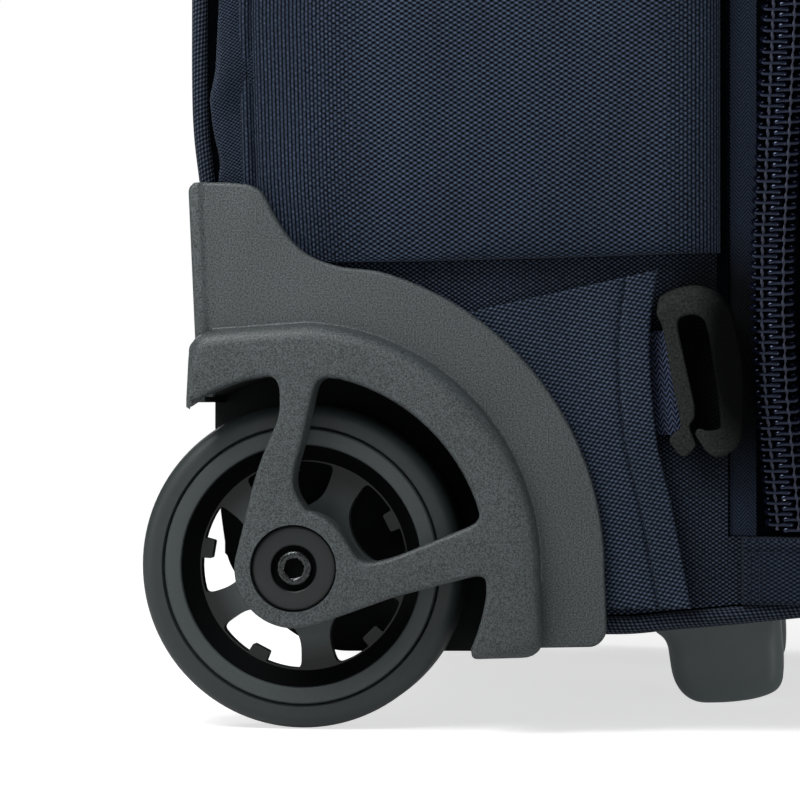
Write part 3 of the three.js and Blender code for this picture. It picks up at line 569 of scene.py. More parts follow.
def striped(name, colours, pitch, turn, band, depth=0.1, hollow=None):
    """Cloth with fine slanting ribs that change sides in each band, as in herringbone."""
    material, tree, shader = new_material(name, Roughness=0.85, Specular_IOR_Level=0.08, Sheen_Weight=0.03)
    uv = node(tree, "ShaderNodeUVMap", {}, uv_map="weave")
    u, v, _ = split(tree, uv)
    slant = calc(tree, "MULTIPLY", calc(tree, "PINGPONG", u, band * UV_SCALE), math.tan(math.radians(turn)))
    turns = calc(tree, "MULTIPLY", calc(tree, "ADD", v, slant), 2 * math.pi / (pitch * UV_SCALE))
    wave = calc(tree, "SINE", turns)
    factor = rough_wave(tree, uv, wave, 0.7, 0.3)
    colour = ramp(tree, factor, [(0.1, srgb(*colours[0])), (0.85, srgb(*colours[1]))])
    # The hollow argument paints shade, sinking the colour to black about a place.
    if hollow:
        colour = painted_fold_shade(tree, colour, *hollow)
    finish_material(tree, shader, colour, wave, depth)
    return material


# Painted shade of the deep fold behind the hook: its middle and its reach along y and z
FOLD_SHADE = ((0, -0.036, 0.096), (0.02, 0.031))
PANEL_CLOTH = woven("mesh_weave", ((1, 2, 6), (35, 44, 58), (66, 78, 97)), 1.05, 1.32,
                    stops=(0.1, 0.36, 0.5, 0.7), columns=(52, 74, -20, -34))
BODY_CLOTH = woven("basket_weave", ((2, 3, 6), (25, 32, 43), (66, 76, 93)), 0.84, 1.1,
                   stops=(0.08, 0.36, 0.5, 0.72), hollow=FOLD_SHADE, fold_shade=0.16)
GUSSET_CLOTH = woven("gusset_weave", ((1, 2, 5), (29, 37, 50), (56, 66, 83)), 0.62, 0.9, turn=12, fold_shade=0.3)
FLAP_CLOTH = woven("flap_weave", ((5, 8, 13), (33, 42, 55), (74, 85, 103)), 0.95, 1.2,
                   stops=(0.08, 0.36, 0.52, 0.76))
PATCH_CLOTH = woven("patch_weave", ((3, 5, 9), (24, 31, 42), (50, 60, 75)), 0.95, 1.1)
CORD_CLOTH = woven("cord_weave", ((5, 8, 12), (28, 35, 46), (66, 74, 88)), 0.75, 1.1, turn=38)
TAPE_CLOTH = striped("herringbone", ((14, 20, 30), (36, 45, 60)), 1.0, 50, 2.3, hollow=FOLD_SHADE)
WEBBING_CLOTH = striped("ribbed_webbing", ((6, 9, 18), (62, 72, 98)), 1.5, 58, 1.1, depth=0.22)
THREAD = moulded("thread", (28, 35, 48), 0.8, grain=0.4, specular=0.2)
COIL = moulded("coil_nylon", (9, 11, 24), 0.16, grain=0.8, contrast=0.08, depth=0.0, specular=0.6,
               shine=(0.55, 0.68, 1.0))
HOUSING_PLASTIC = moulded("housing_plastic", (58, 64, 66), 0.5, grain=0.42, contrast=0.8, depth=0.12)
# The ring argument paints shade on the wheel's web, sinking to black towards the rim's taper.
WHEEL_PLASTIC = moulded("wheel_plastic", (57, 64, 65), 0.45, contrast=0.1, depth=0.01, ring=(19, 25, 31))
TYRE_RUBBER = moulded("tyre_rubber", (38, 45, 45), 0.5, contrast=0.14, depth=0.015)
COVER_PLASTIC = moulded("cover_plastic", (22, 27, 28), 0.4, contrast=0.1, depth=0.01)
FOOT_PLASTIC = moulded("foot_plastic", (106, 116, 117), 0.45, contrast=0.04, depth=0.01)
# The hollow argument paints shade over the hook's right bar, in the deep fold beside it.
HOOK_PLASTIC = moulded("hook_plastic", (37, 40, 39), 0.6, grain=0.6, contrast=0.5, depth=0.04, specular=0.03,
                       hollow=((0, -0.044, 0.099), (0.0135, 0.029)))
BLACK_PLASTIC = moulded("black_plastic", (24, 27, 29), 0.45, contrast=0.08)
BOLT_METAL = moulded("bolt_metal", (64, 67, 67), 0.17, grain=0.5, contrast=0.6, depth=0.12, metallic=0.9)
DARK_METAL = moulded("slider_metal", (70, 74, 78), 0.35, contrast=0.08, metallic=0.8)
TUBE_METAL = moulded("tube_metal", (150, 154, 158), 0.32, grain=0.6, contrast=0.05, metallic=0.9)
BACK_MESH = woven("spacer_mesh", ((4, 6, 12), (36, 43, 56), (66, 74, 90)), 1.6, 2.6)
# Darker copy of the housing plastic, painting the shade inside the wheel well
WELL_SHADE_PLASTIC = moulded("well_shade_plastic", (22, 24, 25), 0.75, contrast=0.1, specular=0.15)


# Moulded wheel housing
FLANGE_FACE = HOUSING_FACE - 7
FLANGE_BACK = FLANGE_FACE - 3
FLANGE_RADIUS = 79.3
FLANGE_EDGE = 1.0
TAB_TOP = HOUSING_HIGH.z - AXLE_Z
HOUSING_REAR = HOUSING_HIGH.y - AXLE_Y
CORNER = 4.5
REAR_LEAN = 2.5
ARCH_OUTER = 63
ARCH_INNER = 50
ARCH_BOTTOM = -22.9
ARCH_REAR = HOUSING_REAR - 0.8
ARCH_REAR_LOW = 41.5
ARCH_SHOULDER = 4.4
ARCH_EDGE = 1.3
BOSS_RADIUS = 15.4
ROOF = 3.3
PLATE_FACE = WHEEL_BACK - 1
PLATE_THICKNESS = 3
WRAP = 38
SEAT_RADIUS = 11.2


def flange_outline():
    tab = [(-HOUSING_REAR + CORNER, TAB_TOP), (-17.5, TAB_TOP, 5), (-9.8, 98.6, 4), (-5.6, 90.0, 4),
           (0.2, 81.8, 7), (9.5, 77.6, 8), (20, 76.7, 4)]
    foot = [(79.9, -17, 2), (77.3, -20.0, 2), (53, -20.5)]
    seat = arc(55, -20, 114, 36) + [(-HOUSING_REAR + CORNER, 50.3)]
    return rounded(tab + arc(FLANGE_RADIUS, 73, 0, 44) + foot + seat, 5)


def arch_outline():
    """Raised arch with both arms and the boss, as one closed line."""
    return rounded([
        (46, ARCH_BOTTOM, 1.5), (63.8, ARCH_BOTTOM + 0.3, 5.5), (63.4, -6, 4)]
        + arc(ARCH_OUTER, 0, 87, 50)
        + [(-14, 61.8, 4), (-ARCH_REAR, 60.6, 7), (-ARCH_REAR, ARCH_REAR_LOW, 2)]
        + arc(ARCH_INNER, 124, 104, 8)
        + [polar(ARCH_INNER, 94.2) + (5,), (-3.5, 39.5, 3), (-9.6, 25.2, 6), (-13.4, 9.5, 6)]
        + arc(BOSS_RADIUS, 172, 288, 26)
        + [polar(BOSS_RADIUS + 0.2, 294) + (2,), (26, -7.2), polar(ARCH_INNER - 0.5, -1.2) + (4,)]
        + arc(ARCH_INNER, -7, -24, 8), 6)


def arch_window():
    """Opening between the two arms."""
    return rounded([
        (24.2, 2.3, 5), polar(ARCH_INNER, 14.2) + (4,)]
        + arc(ARCH_INNER, 20, 76, 26)
        + [polar(ARCH_INNER - 0.4, 83.0) + (4,), (2.4, 33), (-0.9, 21.4, 6)]
        + arc(BOSS_RADIUS, 78, 30, 10)
        + [(17.2, 1.2, 4)], 6)


def arch_rounding(point):
    """Wide shoulder along the arch's outer line, fine edge elsewhere."""
    return ARCH_EDGE + (ARCH_SHOULDER - ARCH_EDGE) * smooth(54, 60, math.hypot(*point))


def sector(inner, outer, start, end, steps):
    return arc(outer, start, end, steps) + arc(inner, end, start, steps)


def make_skirt():
    """Hollow fillet where the arch rises from the flange."""
    size = 0.7
    curve = [(ARCH_OUTER + size + x, FLANGE_FACE + size + y) for x, y in arc(size, 180, 270, 6)]
    section = [(ARCH_OUTER - 2, FLANGE_FACE - 0.6), (ARCH_OUTER - 2, FLANGE_FACE + size)] + curve
    section.append((ARCH_OUTER + size, FLANGE_FACE - 0.6))
    rings = []
    for i in range(61):
        x, y = polar(1, -4 + 92 * i / 60)
        rings.append([side_point(out, radius * x, radius * y) for radius, out in section])
    x, y = polar(1, 88)
    for back in (6, 14, 22, ARCH_REAR - 3.5):
        rings.append([side_point(out, radius * x - back, radius * y - 0.07 * back)
                      for radius, out in section])
    return loft(rings)


def make_wrap():
    """Upright rear corner and the strip round the back, leaning as it rises."""
    rear = AXLE_Y + HOUSING_REAR
    front = rear - CORNER - 1
    plan = rounded([
        (-FLANGE_FACE, front), (-FLANGE_FACE, rear - 3.9, 0.5), (-FLANGE_FACE - 0.6, rear - 2.9, 0.8),
        (-FLANGE_FACE - 0.6, rear, 2.6), (-FLANGE_FACE + WRAP, rear),
        (-FLANGE_FACE + WRAP, rear - 3), (-FLANGE_BACK, rear - 3, 1.5), (-FLANGE_BACK, front)], 8)
    points, faces = prism(plan, low=AXLE_Z + 44, high=AXLE_Z + TAB_TOP,
                          round_high=lambda p: 0.9 + 1.6 * smooth(rear - 3, rear - 0.5, p[1]))
    for point in points:
        if point.y > front + 1.2:
            point.y -= REAR_LEAN * (AXLE_Z + TAB_TOP - point.z) / (TAB_TOP - 44)
    return points, faces


def make_housing():
    flange = prism(flange_outline(), low=FLANGE_BACK, high=FLANGE_FACE, place=SIDE,
                   round_high=lambda p: FLANGE_EDGE if math.hypot(*p) > 70 else 0.0)
    arch = prism(arch_outline(), [arch_window()], FLANGE_BACK + 0.5, HOUSING_FACE,
                 round_high=arch_rounding, steps=6, place=SIDE)
    outside, inside = -HOUSING_FACE + 4.6, -FLANGE_FACE + WRAP
    front, rear = AXLE_Y + HOUSING_REAR - 5, AXLE_Y + ARCH_REAR - 0.06
    band = prism(rounded([(outside, front), (outside, rear), (inside, rear, 2), (inside, front)]),
                 low=AXLE_Z + ARCH_REAR_LOW + 1.1, high=AXLE_Z + 59.4, round_high=3.4, steps=7)
    roof = prism(sector(ARCH_INNER + 0.04, ARCH_INNER + ROOF, -24.2, 121, 72),
                 low=PLATE_FACE - PLATE_THICKNESS, high=FLANGE_FACE + 1, place=SIDE)
    plate = prism(rounded(
        arc(ARCH_INNER + 1.6, -26, 121, 60)
        + [(-26.6, 36), (-25.3, 14.5, 6), (-23.1, -0.5, 4), (-14.2, -12.3, 4), (-3.9, -20.2, 4),
           (5.6, -23.7, 4), (46, -23.4, 2)]),
        low=PLATE_FACE - PLATE_THICKNESS, high=PLATE_FACE, place=SIDE)
    seat = prism(arc(SEAT_RADIUS, 0, 355, 71), low=FLANGE_BACK - 1, high=HOUSING_FACE + 1, place=SIDE)
    return combine(flange, ("UNION", arch), ("UNION", make_skirt()), ("UNION", make_wrap()),
                   ("UNION", band), ("UNION", roof), ("UNION", plate), ("DIFFERENCE", seat))


def shade(objects, material, test):
    """Gives faces another material where test(centre, normal) says so, the centre in millimetres."""
    for obj in objects:
        obj.data.materials.append(material)
        last = len(obj.data.materials) - 1
        for face in obj.data.polygons:
            if test(face.center / MM, face.normal):
                face.material_index = last


def in_well(centre, _):
    """Inner faces of the housing, round and behind the wheel."""
    return abs(centre.x) < FLANGE_BACK and from_axle(centre) < ARCH_INNER + ROOF + 1


housings = add_pair("housing", make_housing(), HOUSING_PLASTIC, "grey_plastic", ["wheel_housing"], sharp=32)
# Painted shade on the housing's faces inside the well
shade(housings, WELL_SHADE_PLASTIC, in_well)


# Wheel
RIM_RADIUS = 35.9
LIP_INNER = 31.5
WEB_OUTER = 27.6
WEB_FACE = WHEEL_FACE - 6.3
WEB_BACK = WEB_FACE - 4
HUB_RADIUS = 12
BORE = 4.3
WINDOWS = 5
WINDOW_FIRST = 26.6
WINDOW_ANGLE = 52
WINDOW_WAIST = 19.0
WINDOW_FOOT = 15.2
# Tab of a window: half its angle, and how far it stands in
TAB_HALF = 5.6
TAB_DEEP = 2.6


def make_tyre():
    shoulder = 3.8
    inner = RIM_RADIUS + 0.35
    half = [(RIM_RADIUS + 0.02, WHEEL_FACE - 2), (inner, WHEEL_FACE - 0.9), (inner + 0.4, WHEEL_FACE)]
    half += [(WHEEL_RADIUS - shoulder + x, WHEEL_FACE - shoulder + y) for x, y in arc(shoulder, 90, 0, 8)]
    middle = (WHEEL_FACE + WHEEL_BACK) / 2
    return lathe(half + [(radius, 2 * middle - out) for radius, out in half[::-1]], 128)


def window_outline(middle):
    """Opening of the web, rounded towards the hub, with a small square tab at its outer edge."""
    half = WINDOW_ANGLE / 2
    outer = WEB_OUTER - 0.5

    def corner(radius, turn, reach):
        return polar(radius, middle + turn) + (reach,)

    return rounded(
        [corner(WINDOW_WAIST, -half * 0.98, 4), corner(outer, -half, 2.2)]
        + arc(outer, middle - half * 0.75, middle - TAB_HALF, 6)
        + [corner(outer - TAB_DEEP, -TAB_HALF, 0.5), corner(outer - TAB_DEEP, TAB_HALF, 0.5)]
        + arc(outer, middle + TAB_HALF, middle + half * 0.75, 6)
        + [corner(outer, half, 2.2), corner(WINDOW_WAIST, half * 0.98, 4),
           corner(WINDOW_FOOT, half * 0.42, 4), corner(WINDOW_FOOT, -half * 0.42, 4)], 6)


def make_rim():
    hub_face = WHEEL_FACE - 1
    back = WHEEL_BACK
    body = lathe([
        (BORE, back + 1), (HUB_RADIUS, back + 1), (HUB_RADIUS, WEB_BACK), (WEB_OUTER, WEB_BACK),
        (LIP_INNER, back + 0.5), (LIP_INNER + 0.5, back), (RIM_RADIUS - 0.5, back), (RIM_RADIUS, back + 0.5),
        (RIM_RADIUS, WHEEL_FACE - 0.5), (RIM_RADIUS - 0.4, WHEEL_FACE - 0.1), (LIP_INNER + 0.9, WHEEL_FACE),
        (LIP_INNER + 0.25, WHEEL_FACE - 0.25), (LIP_INNER, WHEEL_FACE - 0.9),
        (WEB_OUTER + 0.5, WEB_FACE + 0.4), (WEB_OUTER - 0.1, WEB_FACE), (HUB_RADIUS, WEB_FACE),
        (HUB_RADIUS, hub_face), (BORE, hub_face)], 128)
    windows = [prism(window_outline(WINDOW_FIRST + i * 360 / WINDOWS), low=back - 5, high=WHEEL_FACE + 5,
                     place=SIDE) for i in range(WINDOWS)]
    return cut(body, *windows)


# Faces that get painted shade: the rim's taper and the side walls of its windows
def in_taper(centre, normal):
    radius = from_axle(centre)
    taper = LIP_INNER - 0.1 > radius > WEB_OUTER and WHEEL_BACK + 1 < abs(centre.x) < WHEEL_FACE - 0.5
    window = 25 < radius < LIP_INNER and abs(normal.x) < 0.6
    return taper or window


# Near-black plastic that paints shade where little light reaches
SHADE_BLACK_PLASTIC = moulded("shade_black_plastic", (8, 9, 10), 0.75, contrast=0.05, specular=0.05)
add_pair("tread", make_tyre(), TYRE_RUBBER, "tyre", ["tyre"], "wheel_{}", sharp=50)
rims = add_pair("spoked_rim", make_rim(), WHEEL_PLASTIC, "wheel_plastic", ["rim"], "wheel_{}", sharp=30)
shade(rims, SHADE_BLACK_PLASTIC, in_taper)


# Bolt and its cover
COVER_RADIUS = 10.9
COVER_FACE = HOUSING_FACE - 1
RECESS_RADIUS = 5.95
RECESS_FLOOR = COVER_FACE - 2.2
HEAD_RADIUS = 4.7
HEAD_FACE = COVER_FACE - 0.6
AXLE_RADIUS = 4
SOCKET_RADIUS = 2.85
# The bolt head's rounded ring: its middle, half its width and its height
RING_MIDDLE = 3.45
RING_HALF = 1.15
RING_RISE = 0.9


def make_cover():
    return lathe([
        (AXLE_RADIUS + 0.05, FLANGE_BACK + 1.3), (COVER_RADIUS, FLANGE_BACK + 1.3),
        (COVER_RADIUS, COVER_FACE - 0.7), (COVER_RADIUS - 0.2, COVER_FACE - 0.25),
        (COVER_RADIUS - 0.7, COVER_FACE), (RECESS_RADIUS + 0.3, COVER_FACE),
        (RECESS_RADIUS, COVER_FACE - 0.3), (RECESS_RADIUS, RECESS_FLOOR),
        (AXLE_RADIUS + 0.05, RECESS_FLOOR)], 96)


def make_bolt():
    """The bolt, its head a rounded ring about a deep six-sided socket."""
    steps = [math.radians(20 * k) for k in range(9)]
    crown = [(RING_MIDDLE + RING_HALF * math.cos(turn), HEAD_FACE - RING_RISE * (1 - math.sin(turn)))
             for turn in steps]
    body = lathe([
        (0, PLATE_FACE + 0.3), (AXLE_RADIUS, PLATE_FACE + 0.3), (AXLE_RADIUS, RECESS_FLOOR),
        (HEAD_RADIUS, RECESS_FLOOR)] + crown + [(0, crown[-1][1])], 64)
    socket = prism(arc(SOCKET_RADIUS, 12, 312, 5), low=HEAD_FACE - 2.4, high=HEAD_FACE + 1, place=SIDE)
    return cut(body, socket)


def off_ring(centre, _):
    return abs(from_axle(centre) - RING_MIDDLE) > RING_HALF * 0.93


def in_recess(centre, _):
    return from_axle(centre) < RECESS_RADIUS + 0.05


covers = add_pair("bolt_cover", make_cover(), COVER_PLASTIC, "black_plastic", ["axle_bolt"], sharp=30)
# Painted shade in the cover's recess
shade(covers, SHADE_BLACK_PLASTIC, in_recess)
bolts = add_pair("socket_bolt", make_bolt(), BOLT_METAL, "dark_metal", ["axle_bolt"], sharp=30)
# Painted shade on the bolt head outside its ring and in its socket
shade(bolts, SHADE_BLACK_PLASTIC, off_ring)


# Hook on the flap, drawn as (forward, up, reach)
HOOK_LOW, HOOK_HIGH = cad_box("gear_hook_left")
HOOK_OUTLINE = [
    (93.0, 69.4, 1.5), (96.7, 71.6, 3), (102.5, 72.9, 3), (107.8, 71.2, 3), (111.5, 67.5, 3),
    (113.0, 61.2, 4), (114.4, 54.6, 3), (114.9, 47.7, 4), (114.7, 36.6, 4), (113.6, 31.0, 2.5),
    (108.6, 28.2, 2.5), (105.6, 29.6, 2), (102.4, 34.8, 0.8), (103.6, 36.1, 0.7), (105.3, 35.3, 1),
    (109.2, 35.8, 1.2), (108.4, 43.7, 3), (105.8, 61.2, 2), (104.8, 64.0, 1.5), (101.6, 65.2, 2),
    (98.3, 64.1, 1.2), (98.0, 62.0, 1.5), (99.7, 53.8, 3), (102.5, 41.4, 1.5), (102.3, 38.3, 1),
    (100.9, 36.8, 0.8), (101.7, 34.6, 1), (102.9, 31.7, 1), (99.7, 28.0, 2.2), (95.4, 33.2, 2),
    (99.1, 36.2, 1), (96.7, 48.5, 4), (94.2, 62.5, 2), (92.8, 64.6, 1)]


def hook_rounding(point):
    forward, up = point
    bar = 0.5 + 0.5 * smooth(104, 110, forward)
    return bar + (5.2 - bar) * smooth(65.3, 68.5, up) * (1 - smooth(105, 113, forward))


hook = prism(rounded(HOOK_OUTLINE, 4), low=-HOOK_HIGH.x, high=-HOOK_LOW.x, round_high=hook_rounding,
             round_low=0.6, steps=6, place=SIDE)
add_pair("gear_clip", hook, HOOK_PLASTIC, "black_plastic", ["gear_hook"], sharp=40)


# Front feet, drawn as (y, z)
FOOT_LOW, FOOT_HIGH = cad_box("foot_left")
FOOT_OUTLINE = [
    (-14.0, 30.3), (-14.6, 20.6, 3), (-18.9, 17.8, 3), (-20.7, 5.4, 5), (-26.0, 0.0, 4), (-36, 0.1, 6),
    (-45.5, 1.5, 5), (-51.6, 4.6, 5), (-51.8, 13.0, 4), (-50.6, 26.5, 3), (-51.2, 34.1)]


def foot_rounding(point):
    return 0.4 + 4.6 * (1 - smooth(18, 29, point[1]))


foot = prism(rounded(FOOT_OUTLINE, 6), low=FOOT_LOW.x, high=FOOT_HIGH.x, round_low=foot_rounding,
             round_high=foot_rounding, steps=7, place=ACROSS)
add_pair("front_foot", foot, FOOT_PLASTIC, "grey_plastic", ["foot"], sharp=45)


# Cloth body: shares of the bag's height, side width and front reach, from the floor up
BODY_TABLE = [
    (0.00, 1.000, 0.82), (0.07, 1.000, 0.87), (0.10, 1.000, 0.92), (0.18, 1.000, 0.97), (0.32, 1.000, 1.00),
    (0.60, 1.000, 1.00), (0.76, 1.000, 0.97), (0.88, 1.000, 0.90), (0.94, 0.975, 0.82)]
FRONT_REACH = 115
REAR_CORNER = 14
FRONT_CORNER = 40
CROWN = 5
TOP_ROUND = 16
CLOTH = 2
PANEL_NEAR, PANEL_FAR = cad_box("side_panel_left")
PANEL_FRONT = PANEL_NEAR.y
BAG_BOTTOM = TUB_LOW.z
REAR_CUT = 14
SLOPE_START = -12
RISE = math.tan(math.radians(5.6))
ZIP_TAPE = 14
MOUTH_REAR = ZIP_LINE + ZIP_TAPE + 0.3
MOUTH_FRONT = ZIP_LINE - ZIP_TAPE - 0.3
FAR = 400
# Heights between which the rear gusset begins and ends
GUSSET_LOW = (134, 143)
GUSSET_HIGH = (470, 490)
BEZEL_LOW, BEZEL_HIGH = cad_box("tow_bezel")
TOW_LINE = (BEZEL_LOW.y + BEZEL_HIGH.y) / 2
TOW_X = 55

# Rear edge of the side cloth above the housing, as (z, y), with the folds seen there
REAR_EDGE = [(138, 94.3), (145, 94.3), (148.4, 93.3), (151, 94.6), (157, 95.9), (164.5, 96.7), (171.5, 95.2),
             (190, 94.2), (240, 95.2), (300, 94.3), (370, 95.1), (440, 94.4), (520, 95.0)]


def rear_corner(side, rear, z, share):
    """Corner from the side to the back: round, or where share is 1 a full gusset with a sharp edge."""
    edge = along(REAR_EDGE, z) - (BAG_REAR - rear)
    puff = 1.0 + 0.45 * math.sin(z / 6.5) + 1.3 * hump(z, 170, 7) - 0.9 * hump(z, 161, 4)
    sharp = spline([
        (side, rear - REAR_CORNER), (side + puff * 0.6, rear - 11.5), (side + puff, edge - 5.5),
        (side + puff * 0.8, edge - 2.6), (side - 0.7, edge - 0.4), (side - 3, edge), (side - 8, edge + 0.3),
        (side - REAR_CORNER, rear)], 3)
    count = len(sharp) - 1
    found = []
    for i, (x, y) in enumerate(sharp):
        cx, cy = polar(REAR_CORNER, 90 * i / count)
        round_x, round_y = side - REAR_CORNER + cx, rear - REAR_CORNER + cy
        found.append((round_x + (x - round_x) * share, round_y + (y - round_y) * share))
    return found


def bag_ring(width, front, z, inset, fine):
    side = SIDE_FACE * width - inset
    rear = BAG_REAR - inset
    face = -FRONT_REACH * front + CROWN + inset
    nose = max(FRONT_CORNER - inset, 2)
    share = smooth(*GUSSET_LOW, z) * (1 - smooth(*GUSSET_HIGH, z)) if fine else 0.0
    back = rear_corner(side, rear, z, share)
    bend = arc(nose, 270, 360, 12, (side - nose, face + nose))
    bend.append((side, PANEL_FRONT + 1))
    crown = [(s / 4 * (side - nose), face - CROWN * (1 - (s / 4) ** 2)) for s in range(-3, 4)]
    ring = back + [(-x, y) for x, y in back[::-1]] + [(-x, y) for x, y in bend[::-1]] + crown + bend
    return [Vector((x, y, z)) for x, y in ring]


def bag_solid(inset, fine=False):
    """The whole bag as one closed solid."""
    heights = [BAG_TOP * row[0] for row in BODY_TABLE]
    levels = [heights[0], 20, 40, 60, 80, 100, 120, 130] if fine else heights
    if fine:
        levels += [134 + 2 * i for i in range(40)] + [220 + 10 * i for i in range(27)]
    rings = []
    for z in sorted({level for level in levels if level < heights[-1]}) + [heights[-1]]:
        width = along([(row[0], row[1]) for row in BODY_TABLE], z / BAG_TOP)
        front = along([(row[0], row[2]) for row in BODY_TABLE], z / BAG_TOP)
        rings.append(bag_ring(width, front, z, inset, fine))
    _, width, front = BODY_TABLE[-1]
    for step in range(8):
        out, up = polar(TOP_ROUND, 90 * step / 7)
        height = BAG_TOP - TOP_ROUND - inset + up
        rings.append(bag_ring(width, front, height, inset + TOP_ROUND - out, False))
    return loft(rings)


def below_bottom(lift):
    low = BAG_BOTTOM + lift
    edge = BAG_REAR - REAR_CUT - lift * math.tan(math.pi / 8)
    past = edge + 2 * REAR_CUT
    outline = [(-FAR, low + (FAR + SLOPE_START) * RISE), (SLOPE_START, low), (edge, low),
               (past, low + 2 * REAR_CUT), (past, -FAR), (-FAR, -FAR)]
    return prism(outline, low=-FAR, high=FAR, place=ACROSS)


def wheel_well(clearance):
    radius = ARCH_INNER + ROOF + clearance
    outline = arc(radius, 122, -88, 40) + [(0, -FAR), (-FAR, -FAR), (-FAR, polar(radius, 122)[1])]
    return prism(outline, low=PLATE_FACE - PLATE_THICKNESS - clearance, high=FAR, place=SIDE)


def block(low, high):
    outline = [(low[0], low[1]), (high[0], low[1]), (high[0], high[1]), (low[0], high[1])]
    return prism(outline, low=low[2], high=high[2])


def tow_outline(half_x, half_y, reach, steps=7):
    """Rounded rectangle about the left tube, as (x, y)."""
    return [(x - TOW_X, y + TOW_LINE) for x, y in rounded_box(half_x, half_y, reach, steps)]


def make_tub():
    well, inner_well = wheel_well(0.3), wheel_well(0.3 + CLOTH)
    hole = prism(tow_outline(12.3, 8.3, 4), low=BAG_TOP - 2 * TOP_ROUND, high=BAG_TOP + 20)
    hollow = cut(bag_solid(CLOTH), below_bottom(CLOTH), inner_well, mirrored(inner_well))
    mouth = block((-FAR, -FAR, ZIP_END - 0.3), (FAR, MOUTH_REAR, FAR * 2))
    return cut(bag_solid(0, True), below_bottom(0), well, mirrored(well), hollow, mouth, hole, mirrored(hole))


def make_lid():
    return combine(bag_solid(0, True), ("DIFFERENCE", bag_solid(CLOTH)),
                   ("INTERSECT", block((-FAR, -FAR, ZIP_END), (FAR, MOUTH_FRONT, FAR * 2))))


# Painted shade, near black, on the side cloth in the groove between the zip's rear tape and the side panel's
# front roll
GROOVE_FOOT = 106
GROOVE_WIDTH = 12


def in_groove_shade(centre, _):
    beside = -GROOVE_WIDTH < centre.y - PANEL_FRONT < 0.9
    return beside and centre.z > GROOVE_FOOT and abs(centre.x) > SIDE_FACE - 6


# Near-black cloth that paints shade in gaps and under the coil
SHADOW_CLOTH = moulded("shadow_black_cloth", (3, 4, 6), 0.9, grain=0.7, contrast=0.4, specular=0.0)
shell = add_piece("rear_shell", make_tub(), BODY_CLOTH, "navy_cloth", ["tub"], sharp=40)
shade([shell], SHADOW_CLOTH, in_groove_shade)
shade([shell], GUSSET_CLOTH, lambda centre, _: centre.y > BAG_REAR - REAR_CORNER)
add_piece("lid_shell", make_lid(), BODY_CLOTH, "navy_cloth", ["front_lid"], sharp=40)


def quilt(top, back):
    """Closed pad between two grids of points with the same rows and columns."""
    rows, columns = len(top), len(top[0])
    points = [point for row in top for point in row] + [point for row in back for point in row]
    under = rows * columns
    faces = []
    for i in range(rows - 1):
        for j in range(columns - 1):
            a = i * columns + j
            faces.append((a, a + 1, a + columns + 1, a + columns))
            faces.append((under + a, under + a + columns, under + a + columns + 1, under + a + 1))
    rim = list(range(columns)) + [i * columns + columns - 1 for i in range(1, rows)]
    rim += [(rows - 1) * columns + j for j in range(columns - 2, -1, -1)]
    rim += [i * columns for i in range(rows - 2, 0, -1)]
    for a, b in zip(rim, rim[1:] + rim[:1]):
        faces.append((b, a, under + a, under + b))
    return points, faces


def pad(rows, columns, make):
    """Closed pad and its weave. make(row, column) gives an outer point, an inner point and (u, v)."""
    cells = [[make(row, column) for column in columns] for row in rows]
    top, back = ([[cell[which] for cell in row] for row in cells] for which in (0, 1))
    return quilt(top, back), [cell[2] for row in cells for cell in row] * 2


def lengths(points):
    """Distance along a row of points."""
    found = [0.0]
    for a, b in zip(points, points[1:]):
        found.append(found[-1] + (b - a).length)
    return found


# Side panel. Each row of a profile is (distance in from the edge, share of the puff): it starts
# under the roll, comes out to the edge and rises over it.
PANEL_TOP = PANEL_FAR.z
PANEL_REAR = PANEL_FAR.y
PANEL_LENGTH = PANEL_REAR - PANEL_FRONT
PANEL_LOW = 121.2
PANEL_PUFF = 8.6
ROLL = [(1.6, 0.04), (0.9, 0.10), (0.35, 0.18), (0.05, 0.27), (0.0, 0.36), (0.15, 0.46), (0.5, 0.55),
        (1.1, 0.63), (2.0, 0.70), (3.2, 0.76), (5.0, 0.82), (7.5, 0.87), (11, 0.915), (16, 0.955), (22, 0.98),
        (30, 1.0)]
FRONT_ROLL = [(1.2, 0.03), (0.5, 0.09), (0.1, 0.16), (0.0, 0.24), (0.12, 0.32), (0.45, 0.41), (1.0, 0.50),
              (1.8, 0.595), (2.9, 0.69), (4.3, 0.78), (6.0, 0.86), (8.2, 0.925), (11, 0.97), (15, 0.99),
              (20, 1.0)]
SEAM = [(0.0, 0.05), (0.35, 0.12), (1.1, 0.18), (2.0, 0.19), (2.8, 0.14), (3.4, 0.10), (4.0, 0.15),
        (4.9, 0.22), (6.5, 0.29), (9, 0.38), (13, 0.50), (19, 0.65), (27, 0.81), (37, 0.93), (48, 0.98)]
PANEL_BOTTOM = [(-40, 123.4), (5, 122.1), (46, 121.3), (90, PANEL_LOW)]
PANEL_SEAM = [(120, 86.4), (132, 86.8), (145, 87.6), (184, 88.7), (240, 88.4), (450, 88.0)]
SEAM_STITCH = 4.2
TAB_BLEND = 22


def spread(near, far, width, step):
    """Places across a width, with each edge's own profile: (place, share)."""
    last = [(width - distance, share) for distance, share in far][::-1]
    start, room = near[-1][0], last[0][0] - near[-1][0]
    count = max(int(room / step), 1)
    return near + [(start + room * i / count, 1.0) for i in range(1, count)] + last


def beyond_flange(forward, up):
    """Distance outside the housing's flange, roughly, rounded where its tab meets the arc."""
    from_arc = math.hypot(forward, up) - FLANGE_RADIUS
    from_tab = max(forward + 9, up - TAB_TOP)
    share = min(max(0.5 + 0.5 * (from_tab - from_arc) / TAB_BLEND, 0), 1)
    return from_tab + (from_arc - from_tab) * share - TAB_BLEND * share * (1 - share)


